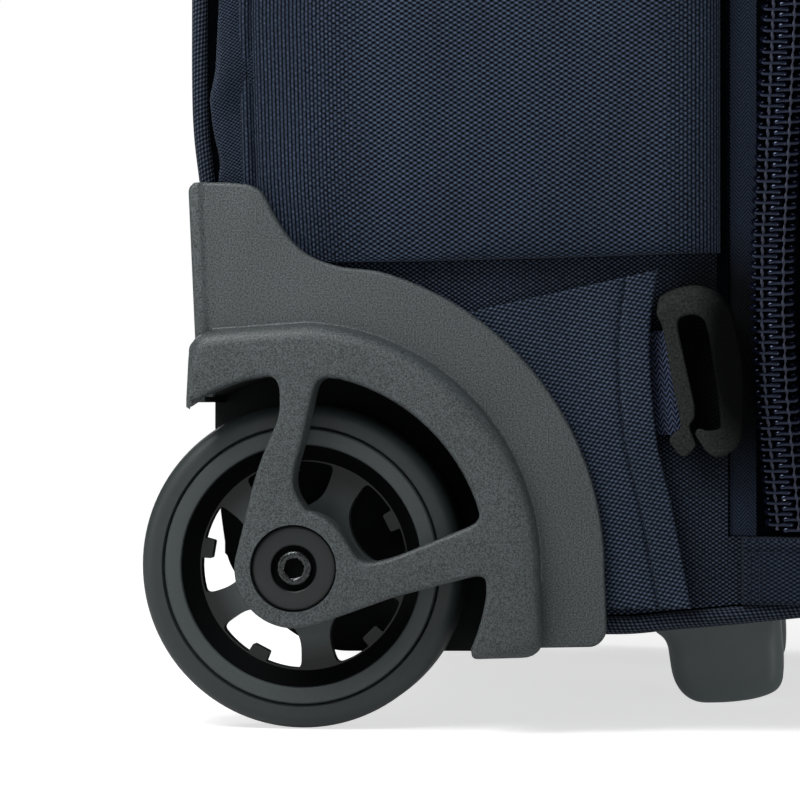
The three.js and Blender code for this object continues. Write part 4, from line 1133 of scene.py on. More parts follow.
def panel_height(y, z, share):
    """How far the panel stands off the cloth side."""
    ripple = 0.16 * math.sin(y / 7.3 + z / 23) + 0.14 * math.sin(z / 11.0 - y / 17)
    height = 0.3 + (PANEL_PUFF + ripple) * share
    room = FLANGE_BACK - 0.5 - SIDE_FACE
    outside = beyond_flange(AXLE_Y - y, z - AXLE_Z)
    limit = room + (PANEL_PUFF - room + 0.4) * (1 - math.exp(-max(outside - 0.5, 0) / 13))
    return height - max(height - limit, 0)


def panel_cell(row, column):
    """Outer and inner point of the panel, from (distance, share) up it and across it."""
    (rise, up_share), (away, share) = row, column
    y = PANEL_FRONT + away
    bottom = along(PANEL_BOTTOM, y)
    z = bottom + rise * (PANEL_TOP - bottom) / (PANEL_TOP - PANEL_LOW)
    y += (along(PANEL_SEAM, z) - PANEL_REAR) * smooth(0.5, 1.0, away / PANEL_LENGTH)
    pull = (0.5 + 0.5 * math.cos(2 * math.pi * z / SEAM_STITCH)) ** 2
    dent = 0.75 * hump(away, PANEL_LENGTH - 3.4, 0.8) * pull * smooth(0, 12, rise)
    height = panel_height(y, z, share * up_share) - dent
    return Vector((-SIDE_FACE - max(height, 0.35), y, z)), Vector((-SIDE_FACE - 0.2, y, z)), None


def make_panel():
    across = spread(FRONT_ROLL, SEAM, PANEL_LENGTH, 1.8)
    upward = spread(ROLL, ROLL, PANEL_TOP - PANEL_LOW, 2.2)
    flat_u = lengths([panel_cell(upward[len(upward) // 2], column)[0] for column in across])
    flat_v = lengths([panel_cell(row, across[len(across) // 2])[0] for row in upward])
    return pad(upward, across, panel_cell)[0], [(u, v) for v in flat_v for u in flat_u] * 2


panel, panel_weave = make_panel()
panels = add_pair("mesh_panel", panel, PANEL_CLOTH, "mesh_cloth", ["side_panel"], weave=panel_weave, sharp=60)


def stitch(start, end, radius):
    """One short rounded thread."""
    ahead = (end - start).normalized()
    helper = Vector((1, 0, 0)) if abs(ahead.x) < 0.7 else Vector((0, 0, 1))
    across = ahead.cross(helper).normalized()
    above = across.cross(ahead)
    rings = []
    for share, swell in ((0.0, 0.35), (0.12, 0.85), (0.5, 1.0), (0.88, 0.85), (1.0, 0.35)):
        centre = start.lerp(end, share)
        rings.append([centre + (across * x + above * y) * radius * swell for x, y in arc(1, 0, 288, 4)])
    return loft(rings)


# Wing flap: (forward, up) along its hidden edge and its free edge, from the bottom up
FLAP_HIDDEN = spline([(70, -10.6), (69, 6), (66, 22), (60, 36), (50, 52), (38, 64.6)], 6)
FLAP_FREE = spline([
    (101.4, -10.0), (99.2, 2), (96.4, 16.5), (93.2, 30), (91.6, 43), (91.0, 60), (92.9, 76.3)], 6)
FLAP_LOW = 162.6 - SIDE_FACE
FLAP_LIFT = 3.4
FLAP_THICK = 1.5
FLAP_HEIGHT = 86
FLAP_WEAVE_TURN = math.radians(20)
HEM = 8.2
HEM_STITCHES = 28


def at_share(points, share):
    place = share * (len(points) - 1)
    i = min(int(place), len(points) - 2)
    a, b = points[i], points[i + 1]
    return a[0] + (b[0] - a[0]) * (place - i), a[1] + (b[1] - a[1]) * (place - i)


def flap_line(rise):
    """Ends on the hidden and on the free edge, as (forward, up), and the width between them."""
    hidden, free = at_share(FLAP_HIDDEN, rise), at_share(FLAP_FREE, rise)
    return hidden, free, math.hypot(free[0] - hidden[0], free[1] - hidden[1])


def flap_point(rise, share):
    """Point of the flap's face: rise from the bottom to the ridge, share from hidden to free edge."""
    (f0, u0), (f1, u1), width = flap_line(rise)
    to_free = (1 - share) * width
    out = FLAP_LOW + FLAP_LIFT * share ** 1.5
    out += 1.5 * math.exp(-(1 - rise) * 12) * share ** 0.5
    out += 0.6 * (1 - smooth(HEM - 1.2, HEM - 0.2, to_free)) - 0.9 * hump(to_free, HEM, 0.7)
    out += 0.5 * math.sin(3.0 * rise + 2.2) * share
    return Vector((out, f0 + (f1 - f0) * share, u0 + (u1 - u0) * share)), to_free


def flap_cell(rise, share):
    spot, to_free = flap_point(rise, share)
    near_edge = min(to_free, (1 - rise) * FLAP_HEIGHT, rise * FLAP_HEIGHT)
    thick = 0.35 + (FLAP_THICK - 0.35) * roll(near_edge, 0.9)
    slack = (FLAP_THICK - thick) * 0.5
    outer = side_point(SIDE_FACE + spot.x + FLAP_THICK - slack, spot.y, spot.z)
    cos, sin = math.cos(FLAP_WEAVE_TURN), math.sin(FLAP_WEAVE_TURN)
    weave = (outer.y * cos - outer.z * sin, outer.y * sin + outer.z * cos)
    return outer, side_point(SIDE_FACE + spot.x + slack, spot.y, spot.z), weave


def make_flap():
    rises = [0, 0.004, 0.012] + [0.02 + 0.96 * i / 56 for i in range(57)] + [0.988, 0.996, 1.0]
    shares = [0.94 * i / 64 for i in range(65)] + [0.955, 0.97, 0.98, 0.988, 0.995, 1.0]
    return pad(rises, shares, flap_cell)


def flap_stitches():
    found = []
    for i in range(HEM_STITCHES):
        ends = []
        for part in (0.16, 0.84):
            rise = 0.02 + 0.93 * (i + part) / HEM_STITCHES
            _, _, width = flap_line(rise)
            spot, _ = flap_point(rise, 1 - HEM / width)
            ends.append(side_point(SIDE_FACE + spot.x + 1.55, spot.y, spot.z))
        found.append(stitch(*ends, 0.26))
    return together(*found)


flap, flap_weave = make_flap()
wings = add_pair("wing_cloth", flap, FLAP_CLOTH, "navy_cloth", ["wing_flap"], weave=flap_weave, sharp=60)
wing_seams = add_pair("wing_stitches", flap_stitches(), THREAD, "webbing", ["wing_flap"], sharp=60)


# Webbing tab that carries the hook, from under the flap's edge to the hook's rear bar
TAB_LOW, TAB_HIGH = cad_box("hook_webbing_left")
TAB_GAP = 0.2
TAB_THICK = 0.45
# Its section, as (forward, out)
TAB_LINE = spline([(88.8, 162.9), (91.2, 163.2), (93.4, 164.2), (94.8, 165.2), (96.0, 165.5), (96.8, 165.4),
                   (97.2, 165.2)], 4)


def make_tab():
    low, high = TAB_LOW.z + TAB_GAP, TAB_HIGH.z - TAB_GAP

    def cell(share, place):
        forward, out = place
        z = low + (high - low) * share
        corner = 2.5 * (1 - smooth(0, 0.12, share)) * smooth(96, 101, forward)
        shifted = forward - 0.09 * (z - (low + high) / 2) + 1.2 - corner * 0.4
        edge = roll(min(share, 1 - share) * (high - low), 0.8)
        return (side_point(out + TAB_THICK + 0.35 * edge, shifted, z - AXLE_Z),
                side_point(out - TAB_THICK, shifted, z - AXLE_Z), (forward, z))

    return pad([i / 24 for i in range(25)], TAB_LINE, cell)


tab, tab_weave = make_tab()
add_pair("hook_tab", tab, WEBBING_CLOTH, "webbing", ["hook_webbing"], weave=tab_weave, sharp=60)


# Covered cords along the edges
def cord(path, radius, up):
    """Round cord, with its weave running round it."""
    line = [Vector(point) for point in path]
    section = arc(radius, 180, 540 - 360 / CORD_SIDES, CORD_SIDES - 1)
    weave = [(distance * 0.8, 2 * math.pi * radius * k / CORD_SIDES)
             for distance in lengths(line) for k in range(CORD_SIDES)]
    return sweep(line, section, up), weave


def mirror_path(half):
    """Left half of a path, then its mirror image."""
    return half + [(-x, y, z) for x, y, z in half[::-1]]


CORD_SIDES = 12
BACK_CORD = 2.25
BOTTOM_CORD = 2.4
BACK_CORD_Y = 100.9
BACK_CORD_X = 150
ELBOW = 1 - math.sqrt(0.5)
TAIL_THICK = 0.8


def back_cord_path():
    x, y = -BACK_CORD_X, BACK_CORD_Y
    low, top, bend = AXLE_Z + TAB_TOP - 6, BAG_TOP - 18, 26
    return spline(mirror_path([
        (x, y - 2.9, low), (x, y - 1.9, low + 8), (x, y - 0.5, low + 20), (x, y, low + 34), (x, y, 200),
        (x, y, 300), (x, y, 400), (x, y, top - bend), (x + bend * ELBOW, y, top - bend * ELBOW),
        (x + bend, y, top), (x / 3, y, top)]), 14)


def bottom_cord_path():
    side = SIDE_FACE - BOTTOM_CORD + 0.7
    drop = BAG_BOTTOM - 0.4 - BOTTOM_CORD
    nose = -FRONT_REACH * BODY_TABLE[1][2] + BOTTOM_CORD + CROWN
    bend = FRONT_CORNER - BOTTOM_CORD
    places = [(side, 14), (side, 4), (side, -12), (side, -24), (side, nose + bend + 10),
              (side - bend * ELBOW, nose + bend * ELBOW), (side - bend - 10, nose),
              (side / 3, nose - CROWN * 0.6)]
    return spline(mirror_path([(-x, y, drop + max(0, SLOPE_START - y) * RISE) for x, y in places]), 14)


def make_tail(path, reach):
    """Flat flange of a covered cord, sewn to the cloth at reach from the cord's middle."""
    line = [Vector(point) for point in path]
    rings = []
    for i, spot in enumerate(line):
        side = way_along(line, i).cross(reach).normalized() * TAIL_THICK / 2
        rings.append([spot + reach - side, spot + reach + side, spot + side, spot - side])
    return loft(rings)


# Name, path, radius, up, and the way from the cord to where its tail is sewn
CORDS = (
    ("back", back_cord_path(), BACK_CORD, (0, 1, 0), (0, BAG_REAR - 1.5 - BACK_CORD_Y, 0)),
    ("bottom", bottom_cord_path(), BOTTOM_CORD, (0, 0, 1), (0, 0, 4.5)))
for cord_name, cord_path, cord_radius, cord_up, _ in CORDS:
    cord_shape, cord_weave = cord(cord_path, cord_radius, Vector(cord_up))
    add_piece(f"{cord_name}_cord", cord_shape, CORD_CLOTH, "dark_cloth", [f"{cord_name}_piping"],
              weave=cord_weave, sharp=60)
# The cords' tails are painted near black as shade
for cord_name, cord_path, _, _, tail_reach in CORDS:
    cord_tail = make_tail(cord_path, Vector(tail_reach))
    add_piece(f"{cord_name}_cord_tail", cord_tail, SHADOW_CLOTH, "dark_cloth", [f"{cord_name}_piping"])


# Big zip: a path over the bag, from the left end up the side, over the top and down the other side
ZIP_FOOT = 40


def zip_outline():
    """Half of the cloth's outline across the bag at the zip, as (x, z) from the left end up."""
    side = [(-SIDE_FACE, z) for z in range(ZIP_FOOT, 450, 10)] + [(-SIDE_FACE, BAG_TOP * 0.88)]
    lean = SIDE_FACE * BODY_TABLE[-1][1]
    shoulder = BAG_TOP - TOP_ROUND
    side.append((-lean - 0.2, shoulder - 13))
    bend = [(-lean + TOP_ROUND + x, shoulder + y) for x, y in arc(TOP_ROUND, 180, 90, 12)]
    flat = [(-x, BAG_TOP) for x in range(130, -1, -10)]
    return side + bend + flat


ZIP_HALF = zip_outline()
ZIP_LINE_POINTS = [Vector((x, 0, z)) for x, z in ZIP_HALF + [(-x, z) for x, z in ZIP_HALF[-2::-1]]]
ZIP_DISTANCES = lengths(ZIP_LINE_POINTS)
ZIP_TOTAL = ZIP_DISTANCES[-1]
ZIP_PITCH = 2.74
ZIP_START = ZIP_END - ZIP_FOOT + 1.5
# How far the coil leaves its straight line, as (z, shift towards the rear)
ZIP_WAVE = [(40, -1.2), (55, -1.0), (70, 0.4), (88, 2.1), (108, 3.0), (125, 2.8), (150, 1.6), (175, 0.4),
            (195, -0.3), (230, -0.6), (280, 0.2), (330, 0.0)]


def zip_frame(distance):
    """Place on the zip's line, the way ahead and the way out of the cloth."""
    distance = min(max(distance, 0.0), ZIP_TOTAL - 1e-6)
    low = bisect_right(ZIP_DISTANCES, distance) - 1
    high = low + 1
    share = (distance - ZIP_DISTANCES[low]) / (ZIP_DISTANCES[high] - ZIP_DISTANCES[low])
    spot = ZIP_LINE_POINTS[low].lerp(ZIP_LINE_POINTS[high], share)

    def way(i):
        i = min(max(i, 1), len(ZIP_LINE_POINTS) - 2)
        return (ZIP_LINE_POINTS[i + 1] - ZIP_LINE_POINTS[i - 1]).normalized()

    ahead = way(low).lerp(way(high), share).normalized()
    return spot, ahead, Vector((-ahead.z, 0, ahead.x))


def zip_point(distance, aside, out):
    """Point at a distance along the zip, aside towards the rear and out of the cloth."""
    spot, _, outward = zip_frame(distance)
    shift = along(ZIP_WAVE, spot.z)
    return spot + outward * out + Vector((0, ZIP_LINE + aside + shift, 0))


def make_tape(side):
    """One tape. side is 1 for the rear one and -1 for the front one."""
    start = ZIP_END - ZIP_FOOT
    span = ZIP_TOTAL - 2 * start
    count = int(span / 5)
    shares = [0, 0.03, 0.1, 0.3, 0.5, 0.7, 0.85, 0.95, 1.0]

    def cell(distance, share):
        spot, _, outward = zip_frame(distance)
        aside = side * (0.3 + (ZIP_TAPE - 0.4) * share)
        swell = -0.9 + 0.35 * math.sin(math.pi * share) - 0.25 * hump(share, 1, 0.1)
        across = Vector((0, ZIP_LINE + aside, 0))
        return spot + outward * swell + across, spot + outward * -1.75 + across, (aside, distance)

    return pad([start + span * i / count for i in range(count + 1)], shares[::-side], cell)


for tape_side, tape_name in ((1, "rear"), (-1, "front")):
    tape, tape_weave = make_tape(tape_side)
    tape_piece = add_piece(f"tape_{tape_name}", tape, TAPE_CLOTH, "dark_cloth", [f"zip_tape_{tape_name}"],
                           weave=tape_weave, sharp=60)
    # Painted shade, near black, on the tape beside the coil
    shade([tape_piece], SHADOW_CLOTH, lambda centre, _: abs(centre.y - ZIP_LINE) < 7.5)


# One turn of the coil: (from the middle outwards, along the zip, height), with the wire's radius
WIRE = 0.5
COIL_TURN = [
    (-1.25, -0.10, 0.9, 0.4), (-1.15, 0.0, 1.75, 0.62), (-0.5, 0.0, 2.25, 0.66), (0.3, 0.0, 2.25, WIRE),
    (2.4, 0.0, 2.35, WIRE), (4.3, 0.05, 2.15, WIRE), (5.25, 0.32, 1.6, WIRE), (5.5, 0.75, 0.95, WIRE),
    (5.1, 1.15, 0.45, WIRE), (4.1, 1.3, 0.3, 0.3)]
COIL_COUNT = int((ZIP_TOTAL - 2 * ZIP_START) / ZIP_PITCH)


def coil_row(side):
    """All the turns on one side of the zip. The two sides mesh half a pitch apart."""
    bodies = []
    for i in range(COIL_COUNT):
        base = ZIP_START + (i + (0.5 if side > 0 else 0.0)) * ZIP_PITCH
        _, ahead, _ = zip_frame(base)
        path = [zip_point(base + shift, side * aside, out - 0.2) for aside, shift, out, _ in COIL_TURN]
        rings = []
        for k, point in enumerate(path):
            way = way_along(path, k)
            above = way.cross(ahead).normalized()
            across = above.cross(way)
            radius = COIL_TURN[k][3]
            rings.append([point + (across * x + above * y) * radius for x, y in arc(1, 0, 288, 4)])
        bodies.append(loft(rings))
    return together(*bodies)


def thread_row(aside):
    """Sewing thread that holds the coil, with a rise on every turn."""
    rings = []
    for i in range(COIL_COUNT * 4):
        distance = ZIP_START + i * ZIP_PITCH / 4
        sway, wave = math.sin(math.pi * i / 2), math.cos(math.pi * i / 2)
        centre = zip_point(distance, aside + 0.12 * sway, 2.4 + 0.22 * wave)
        outward = zip_frame(distance)[2]
        radius = 0.24 + 0.12 * wave
        rings.append([centre + Vector((0, 1, 0)) * x * radius * 1.3 + outward * y * radius
                      for x, y in arc(1, 0, 300, 5)])
    return loft(rings)


add_piece("coil_rear", coil_row(1), COIL, "zip_coil", ["zip_chain"], sharp=70)
add_piece("coil_front", coil_row(-1), COIL, "zip_coil", ["zip_chain"], sharp=70)
COIL_THREAD = moulded("coil_thread", (30, 36, 54), 0.75, grain=0.4)
add_piece("coil_threads", together(thread_row(2.7), thread_row(-2.7)), COIL_THREAD, "zip_coil", ["zip_chain"],
          sharp=70)


# Sewn patch at the end of the zip
PATCH_LOW, PATCH_HIGH = cad_box("zip_end_patch_left")
PATCH_THICK = 1.9
PATCH_EDGE = [0, 0.15, 0.4, 0.8, 1.4, 2.2]


def make_patch():
    low_y, low_z = PATCH_LOW.y, PATCH_LOW.z - 0.4
    high_y, high_z = PATCH_HIGH.y, PATCH_HIGH.z
    base = SIDE_FACE + 0.25

    def places(low, high):
        last = PATCH_EDGE[-1]
        inner = [low + last + (high - low - 2 * last) * i / 20 for i in range(1, 20)]
        return [low + away for away in PATCH_EDGE] + inner + [high - away for away in PATCH_EDGE[::-1]]

    def cell(z, y):
        inside = min(y - low_y, high_y - y, z - low_z, high_z - z)
        height = 0.3 + (PATCH_THICK - 0.3) * roll(inside, 1.4)
        height += 0.55 * smooth(high_z - 3.6, high_z - 2.8, z) * (1 - smooth(high_z - 0.8, high_z, z))
        seam = hump(high_y - y, 2.2, 0.5) + hump(high_y - y, 4.6, 0.5)
        height -= 0.35 * min(seam, 1) * smooth(low_z, low_z + 2, z)
        return Vector((-base - height, y, z)), Vector((-base, y, z)), None

    shape, _ = pad(places(low_z, high_z), places(low_y, high_y)[::-1], cell)
    return shape


def patch_stitches():
    found = []
    for away in (2.2, 4.6):
        for i in range(7):
            start = Vector((-SIDE_FACE - 1.95, PATCH_HIGH.y - away, PATCH_LOW.z + 0.8 + i * 2.2))
            found.append(stitch(start, start + Vector((0, 0, 1.5)), 0.24))
    for i in range(9):
        start = Vector((-SIDE_FACE - 2.0, PATCH_LOW.y + 1.0 + i * 2.2, PATCH_HIGH.z - 3.9))
        found.append(stitch(start, start + Vector((0, 1.5, 0)), 0.22))
    return together(*found)


add_pair("end_patch", make_patch(), PATCH_CLOTH, "dark_cloth", ["zip_end_patch"], sharp=60)
add_pair("end_stitches", patch_stitches(), THREAD, "dark_cloth", ["zip_end_patch"], sharp=60)


# Sliders on top of the bag, with their pulls
PULL_LOW, PULL_HIGH = cad_box("zip_pull_left")


def plan(low, high, reach, steps=6):
    """Rounded rectangle between two corners, as (x, y)."""
    middle = (low + high) / 2
    half = (high - low) / 2
    return [(middle.x + x, middle.y + y) for x, y in rounded_box(half.x, half.y, reach, steps)]


def make_slider():
    """Rounded plate with the small bridge that holds the pull."""
    plate = prism(plan(SLIDER_LOW, SLIDER_HIGH, 4), low=SLIDER_LOW.z, high=SLIDER_HIGH.z - 2, round_high=1.2,
                  round_low=0.6)
    bridge = [Vector((SLIDER_MIDDLE.x + 5 * x, SLIDER_MIDDLE.y, SLIDER_HIGH.z - 3.2 + 3.2 * y))
              for x, y in arc(1, 180, 0, 12)]
    return together(plate, sweep(bridge, [(x * 1.6, y) for x, y in arc(0.8, 0, 315, 7)], Vector((0, 1, 0))))


def make_pull():
    outline = plan(PULL_LOW, PULL_HIGH, 4)
    eye = [(x + (PULL_LOW.x + PULL_HIGH.x) / 2, y + PULL_HIGH.y - 4.2) for x, y in arc(1.9, 0, 345, 23)]
    return prism(outline, [eye], PULL_LOW.z, PULL_HIGH.z, round_low=0.5, round_high=0.9)


add_pair("slider", make_slider(), DARK_METAL, "dark_metal", ["zip_slider"], sharp=40)
add_pair("pull_tab", make_pull(), BLACK_PLASTIC, "black_plastic", ["zip_pull"], sharp=40)


# Back pad: a pad standing on the back, with stitched channels
BACK_PAD_LOW, BACK_PAD_HIGH = cad_box("back_pad")
PAD_CORNER = 24
PAD_EDGE = 7
CHANNELS_UP = (0, -36, 36)
CHANNELS_ACROSS = (240, 330, 420)


def make_back_pad():
    low, high = BACK_PAD_LOW, BACK_PAD_HIGH
    puff = high.y - low.y
    columns, rows = int((high.x - low.x) / 4), int((high.z - low.z) / 4)

    def cell(i, j):
        z = low.z + (high.z - low.z) * (0.5 - 0.5 * math.cos(math.pi * i / rows))
        from_end = min(z - low.z, high.z - z)
        cut = PAD_CORNER - math.sqrt(max(PAD_CORNER ** 2 - max(PAD_CORNER - from_end, 0) ** 2, 0))
        x = low.x + cut + (high.x - low.x - 2 * cut) * (0.5 - 0.5 * math.cos(math.pi * j / columns))
        fullness = roll(min(x - low.x - cut, high.x - cut - x, from_end), PAD_EDGE)
        height = 0.6 + (puff - 0.6) * fullness
        channels = sum(hump(x, place, 3.2) for place in CHANNELS_UP)
        channels += sum(hump(z, place, 3.2) for place in CHANNELS_ACROSS)
        height -= 0.32 * puff * channels * fullness
        return Vector((x, low.y + height, z)), Vector((x, low.y, z)), (x, z)

    return pad(range(rows + 1), range(columns, -1, -1), cell)


pad_shape, pad_weave = make_back_pad()
lumbar_pad = add_piece("lumbar_pad", pad_shape, BACK_MESH, "mesh_cloth", ["back_pad"], weave=pad_weave,
                       sharp=60)


# Shoulder straps
STRAP_LOW, STRAP_HIGH = cad_box("shoulder_strap_left")
STRAP_LENGTH = 190
STRAP_HALF = 27.5
STRAP_TAPER = 5
STRAP_ROUND = 7


def strap_line(share):
    """Middle of the left strap as (x, z), from its top down."""
    top = (-42.0, STRAP_HIGH.z)
    knee = (-88.0, STRAP_LOW.z + (STRAP_HIGH.z - STRAP_LOW.z) * 0.42)
    end = (-92.0, STRAP_LOW.z)
    a = tuple(top[k] + (knee[k] - top[k]) * share for k in (0, 1))
    b = tuple(knee[k] + (end[k] - knee[k]) * share for k in (0, 1))
    return a[0] + (b[0] - a[0]) * share, a[1] + (b[1] - a[1]) * share


def make_strap():
    """Curved padded strap with bound edges."""
    rows, columns = 56, 16
    base, thick = STRAP_LOW.y, STRAP_HIGH.y - STRAP_LOW.y

    def cell(i, j):
        share = i / rows
        x, z = strap_line(share)
        ahead, behind = strap_line(min(share + 0.01, 1)), strap_line(max(share - 0.01, 0))
        way = Vector((ahead[0] - behind[0], ahead[1] - behind[1])).normalized()
        half = STRAP_HALF - STRAP_TAPER * smooth(0.6, 1.0, share)
        half -= STRAP_TAPER * (2 - roll(share * STRAP_LENGTH, STRAP_ROUND)
                               - roll((1 - share) * STRAP_LENGTH, STRAP_ROUND))
        across = -math.cos(math.pi * j / columns) * half
        inside = min(half - abs(across), share * STRAP_LENGTH, (1 - share) * STRAP_LENGTH)
        height = 0.8 + (thick - 0.8) * roll(inside, 6) - 1.4 * hump(inside, 7.5, 1.0) * smooth(0, 0.04, share)
        x, z = x - way.y * across, z + way.x * across
        return Vector((x, base + height, z)), Vector((x, base, z)), (across, share * STRAP_LENGTH)

    return pad(range(rows + 1), range(columns + 1), cell)


strap, strap_weave = make_strap()
straps = add_pair("strap_pad", strap, BACK_MESH, "mesh_cloth", ["shoulder_strap"], weave=strap_weave,
                  sharp=60)


# Buckles and the webbing below them
BUCKLE_LOW, BUCKLE_HIGH = cad_box("strap_buckle_left")


def make_buckle():
    """Ladder-lock: a frame with two slots."""
    middle, half = (BUCKLE_LOW + BUCKLE_HIGH) / 2, (BUCKLE_HIGH - BUCKLE_LOW) / 2

    def opening(half_x, half_z, reach, shift=0.0):
        return [(middle.x + x, middle.z + shift + z) for x, z in rounded_box(half_x, half_z, reach)]

    slots = [opening(half.x - 3.6, half.z * 0.24, 1, shift * half.z) for shift in (-0.45, 0.45)]
    return prism(opening(half.x, half.z, 5), slots, BUCKLE_LOW.y, BUCKLE_HIGH.y, round_low=0.8,
                 round_high=1.2, place=BACK)


add_pair("ladder_lock", make_buckle(), BLACK_PLASTIC, "black_plastic", ["strap_buckle"], sharp=40)


STRAP_WEB_LOW = cad_box("strap_webbing_left")[0]
STRAP_WEB_HALF = 12.5


def make_strap_web():
    """Flat webbing from the buckle down to its sewn anchor."""
    lying = STRAP_WEB_LOW.y + 0.8
    start = Vector((-92, (BUCKLE_LOW.y + BUCKLE_HIGH.y) / 2, BUCKLE_LOW.z + 5))
    end = Vector((-116, lying, STRAP_WEB_LOW.z))
    path = [start, start + Vector((-1, 0, -6))]
    for i in range(1, 24):
        spot = start.lerp(end, i / 24)
        path.append(Vector((spot.x, lying + 0.8 * math.sin(math.pi * i / 24), min(spot.z, path[-1].z - 1))))
    path.append(end)
    section = [(STRAP_WEB_HALF * s, 0.75 * math.sqrt(max(1 - abs(s) ** 12, 0)) + 0.05)
               for s in (-1, -0.94, -0.8, 0, 0.8, 0.94, 1)]
    section += [(x, -y) for x, y in section[::-1]]
    weave = [(x, distance) for distance in lengths(path) for x, _ in section]
    return sweep(path, section, Vector((0, 1, 0))), weave


strap_web, strap_web_weave = make_strap_web()
add_pair("anchor_web", strap_web, WEBBING_CLOTH, "webbing", ["strap_webbing"], weave=strap_web_weave,
         sharp=60)


# Top handle: a padded webbing arch with sewn-down ends
HANDLE_LOW, HANDLE_HIGH = cad_box("top_handle")
HANDLE_MIDDLE = (HANDLE_LOW + HANDLE_HIGH) / 2
HANDLE_HALF = (HANDLE_HIGH - HANDLE_LOW) / 2


def make_handle():
    half, low, top = HANDLE_HALF.x, HANDLE_LOW.z, HANDLE_HIGH.z
    rise = [(-half, low + 1.8), (-half + 9, low + 1.9), (-half + 18, low + 3.2), (-half + 25, low + 12),
            (-half + 32, top - 7), (-half + 44, top - 3.2)]
    centre = spline(rise + [(0, top - 3)] + [(-x, z) for x, z in rise[::-1]], 8)
    line = [Vector((x, HANDLE_MIDDLE.y, z)) for x, z in centre]
    rings, weave = [], []
    for i, spot in enumerate(line):
        way = way_along(line, i)
        above = Vector((-way.z, 0, way.x))
        grip = smooth(half - 20, half - 44, abs(spot.x))
        thick = 1.7 + 1.3 * grip
        wide = HANDLE_HALF.y * (1 - 0.12 * grip)
        ring = []
        for a, b in arc(1, 0, 345, 23):
            across = math.copysign(abs(a) ** 0.35, a) * wide
            ring.append(spot + Vector((0, across, 0)) + above * math.copysign(abs(b) ** 0.5, b) * thick)
            weave.append((across, i * 3.0))
        rings.append(ring)
    return loft(rings), weave


def handle_stitches():
    """A sewn rectangle on each end."""
    found = []
    half, line, top = HANDLE_HALF.x, HANDLE_MIDDLE.y, HANDLE_LOW.z + 3.75
    for side in (-1, 1):
        outer, inner = side * (half - 3), side * (half - 14)
        corners = [Vector((outer, line - 10, top)), Vector((inner, line - 10, top + 0.15)),
                   Vector((inner, line + 10, top + 0.15)), Vector((outer, line + 10, top))]
        for start, end in zip(corners, corners[1:] + corners[:1]):
            count = max(int((end - start).length / 3), 1)
            for i in range(count):
                ends = (start.lerp(end, (i + part) / count) for part in (0.15, 0.85))
                found.append(stitch(*ends, 0.28))
    return together(*found)


handle, handle_weave = make_handle()
add_piece("carry_handle", handle, WEBBING_CLOTH, "navy_cloth", ["top_handle"], weave=handle_weave, sharp=60)
add_piece("handle_stitches", handle_stitches(), THREAD, "navy_cloth", ["top_handle"], sharp=60)


# Tow handle
GRIP_LOW, GRIP_HIGH = cad_box("tow_grip")
BUTTON_LOW, BUTTON_HIGH = cad_box("tow_button")


def make_bezel():
    outer = prism(plan(BEZEL_LOW, BEZEL_HIGH, 12), low=BEZEL_LOW.z, high=BEZEL_HIGH.z, round_high=1.4,
                  steps=6)
    inset = Vector((3, 3, 0))
    well = prism(plan(BEZEL_LOW + inset, BEZEL_HIGH - inset, 10), low=BEZEL_LOW.z + 4, high=BEZEL_HIGH.z + 5)
    guide = prism(tow_outline(10.8, 6.8, 3.2), low=BEZEL_LOW.z - 5, high=BEZEL_HIGH.z)
    return cut(outer, well, guide, mirrored(guide))


def make_grip():
    """Bar with two legs that hold the inner tubes, and a pocket for the button."""
    half, leg_out, leg_in = (GRIP_HIGH.x - GRIP_LOW.x) / 2, TOW_X + 14, TOW_X - 14
    low, top = GRIP_LOW.z, GRIP_HIGH.z
    bar = top - 16
    right = [(leg_in, bar, 6), (leg_in, low), (leg_out, low), (leg_out, bar - 3, 3), (half, bar + 3, 5),
             (half, top, 8)]
    outline = rounded([(-x, *rest) for x, *rest in right[::-1]] + right, 7)
    grip = prism(outline, low=GRIP_LOW.y, high=GRIP_HIGH.y, round_low=3.4, round_high=3.4, steps=7,
                 place=BACK)
    gap = Vector((0.3, 0.3, 0))
    pocket = prism(plan(BUTTON_LOW - gap, BUTTON_HIGH + gap, 3.2), low=top - 5, high=top + 5)
    return cut(grip, pocket)


add_piece("handle_bezel", make_bezel(), HOUSING_PLASTIC, "grey_plastic", ["tow_bezel"], sharp=32)
add_piece("handle_grip", make_grip(), BLACK_PLASTIC, "black_plastic", ["tow_grip"], "tow_top", sharp=40)
button = prism(plan(BUTTON_LOW, BUTTON_HIGH, 3, 8), low=BUTTON_LOW.z, high=BUTTON_HIGH.z, round_high=1.0)
add_piece("handle_button", button, HOUSING_PLASTIC, "grey_plastic", ["tow_button"], "tow_press", sharp=40)


def make_tube(stage, low, high):
    """Tube of a stage: 0 is the outer one, and each next one fits in the one before."""
    shrink = stage * 1.5
    outer = tow_outline(12 - shrink, 8 - shrink, 4 - shrink * 0.6, 8)
    inner = tow_outline(10.8 - shrink, 6.8 - shrink, 3.3 - shrink * 0.6, 8)
    return prism(outer, [inner], low, high)


TUBES = (("outer", "root"), ("middle", "tow_middle"), ("inner", "tow_top"))
for tube_stage, (tube_name, tube_rides) in enumerate(TUBES):
    tube_low, tube_high = cad_box(f"tow_tube_{tube_name}_left")
    tube = make_tube(tube_stage, tube_low.z, tube_high.z)
    add_pair(f"tube_{tube_name}", tube, TUBE_METAL, "tube_metal", [f"tow_tube_{tube_name}"], tube_rides,
             sharp=40)


# Camera, floor and light
def make_camera():
    data = bpy.data.cameras.new("camera")
    data.lens = CAMERA_LENS
    data.sensor_width = SENSOR
    data.clip_start = 0.01
    camera = bpy.data.objects.new("camera", data)
    camera.location = Vector(CAMERA_PLACE) * MM
    camera.rotation_euler = (math.radians(90), 0, math.radians(CAMERA_TURN - 90))
    bpy.context.scene.collection.objects.link(camera)
    bpy.context.scene.camera = camera


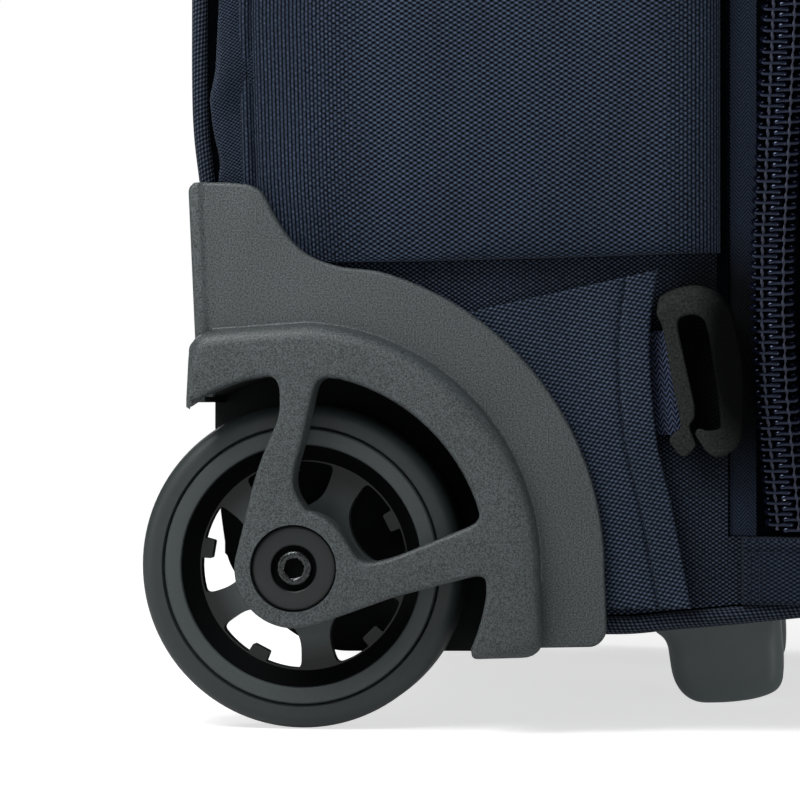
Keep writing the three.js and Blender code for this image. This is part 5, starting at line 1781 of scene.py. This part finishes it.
def make_floor():
    """Pale floor that glows as painted light: faintly near the bag where its shadow falls, white farther out,
    and brighter to the camera.
    """
    half = 6.0
    mesh = bpy.data.meshes.new("floor")
    corners = [(-half, -half, 0), (half, -half, 0), (half, half, 0), (-half, half, 0)]
    mesh.from_pydata(corners, [], [(0, 1, 2, 3)])
    material, tree, shader = new_material("floor_white", Roughness=0.9, Specular_IOR_Level=0.0)
    place = own_place(tree)
    glow = remap(tree, length(tree, place), 0.35, 1.1, 0.14, 1.0, interpolation_type="SMOOTHSTEP")
    seen = node(tree, "ShaderNodeLightPath", {}, 0)
    shown = calc(tree, "MINIMUM", calc(tree, "ADD", glow, calc(tree, "MULTIPLY", seen, 0.52)), 1.0)
    base = ramp(tree, noise(tree, place, 3.0), [(0.3, (0.9, 0.9, 0.9, 1)), (0.7, (0.93, 0.93, 0.93, 1))])
    dimmed = scaled(tree, base, calc(tree, "SUBTRACT", 0.85, glow))
    tree.links.new(dimmed, shader.inputs["Base Color"])
    tree.links.new(shown, shader.inputs["Emission Strength"])
    shader.inputs["Emission Color"].default_value = (1, 1, 1, 1)
    mesh.materials.append(material)
    floor = bpy.data.objects.new("floor", mesh)
    bpy.context.scene.collection.objects.link(floor)


def make_lamp(name, place, target, size, watts):
    data = bpy.data.lights.new(name, "AREA")
    data.shape = "SQUARE"
    data.size = size
    data.energy = watts
    lamp = bpy.data.objects.new(name, data)
    lamp.location = place
    lamp.rotation_euler = (Vector(target) - Vector(place)).to_track_quat("-Z", "Y").to_euler()
    bpy.context.scene.collection.objects.link(lamp)


def make_world():
    """White for the camera, dim for everything else."""
    world = bpy.data.worlds.new("studio")
    world.use_nodes = True
    tree = world.node_tree
    tree.nodes.clear()
    seen = node(tree, "ShaderNodeLightPath", {}, 0)
    back = node(tree, "ShaderNodeBackground", {
        "Color": (1, 1, 1, 1), "Strength": remap(tree, seen, 0.0, 1.0, 0.12, 1.0)})
    tree.links.new(back, tree.nodes.new("ShaderNodeOutputWorld").inputs["Surface"])
    bpy.context.scene.world = world


make_camera()
make_floor()
make_world()
make_lamp("key", (-0.42, 0.24, 0.48), (-0.16, 0.04, 0.1), 0.3, 2.6)
make_lamp("side", (-1.6, -0.3, 0.35), (-0.15, 0.0, 0.12), 1.0, 1.4)
make_lamp("rear", (-0.6, 0.9, 0.25), (-0.15, 0.05, 0.12), 0.6, 1.4)
make_lamp("front", (-0.9, -1.2, 0.25), (-0.15, 0.0, 0.12), 0.8, 1.1)
make_lamp("glint", (-0.5, -0.55, 0.1), (-0.17, 0.0, 0.06), 0.2, 0.45)
make_lamp("far", (1.5, 0.6, 1.3), (0.1, 0.0, 0.25), 1.2, 16)
scene = bpy.context.scene
scene.view_settings.view_transform = "Standard"
scene.view_settings.look = "None"
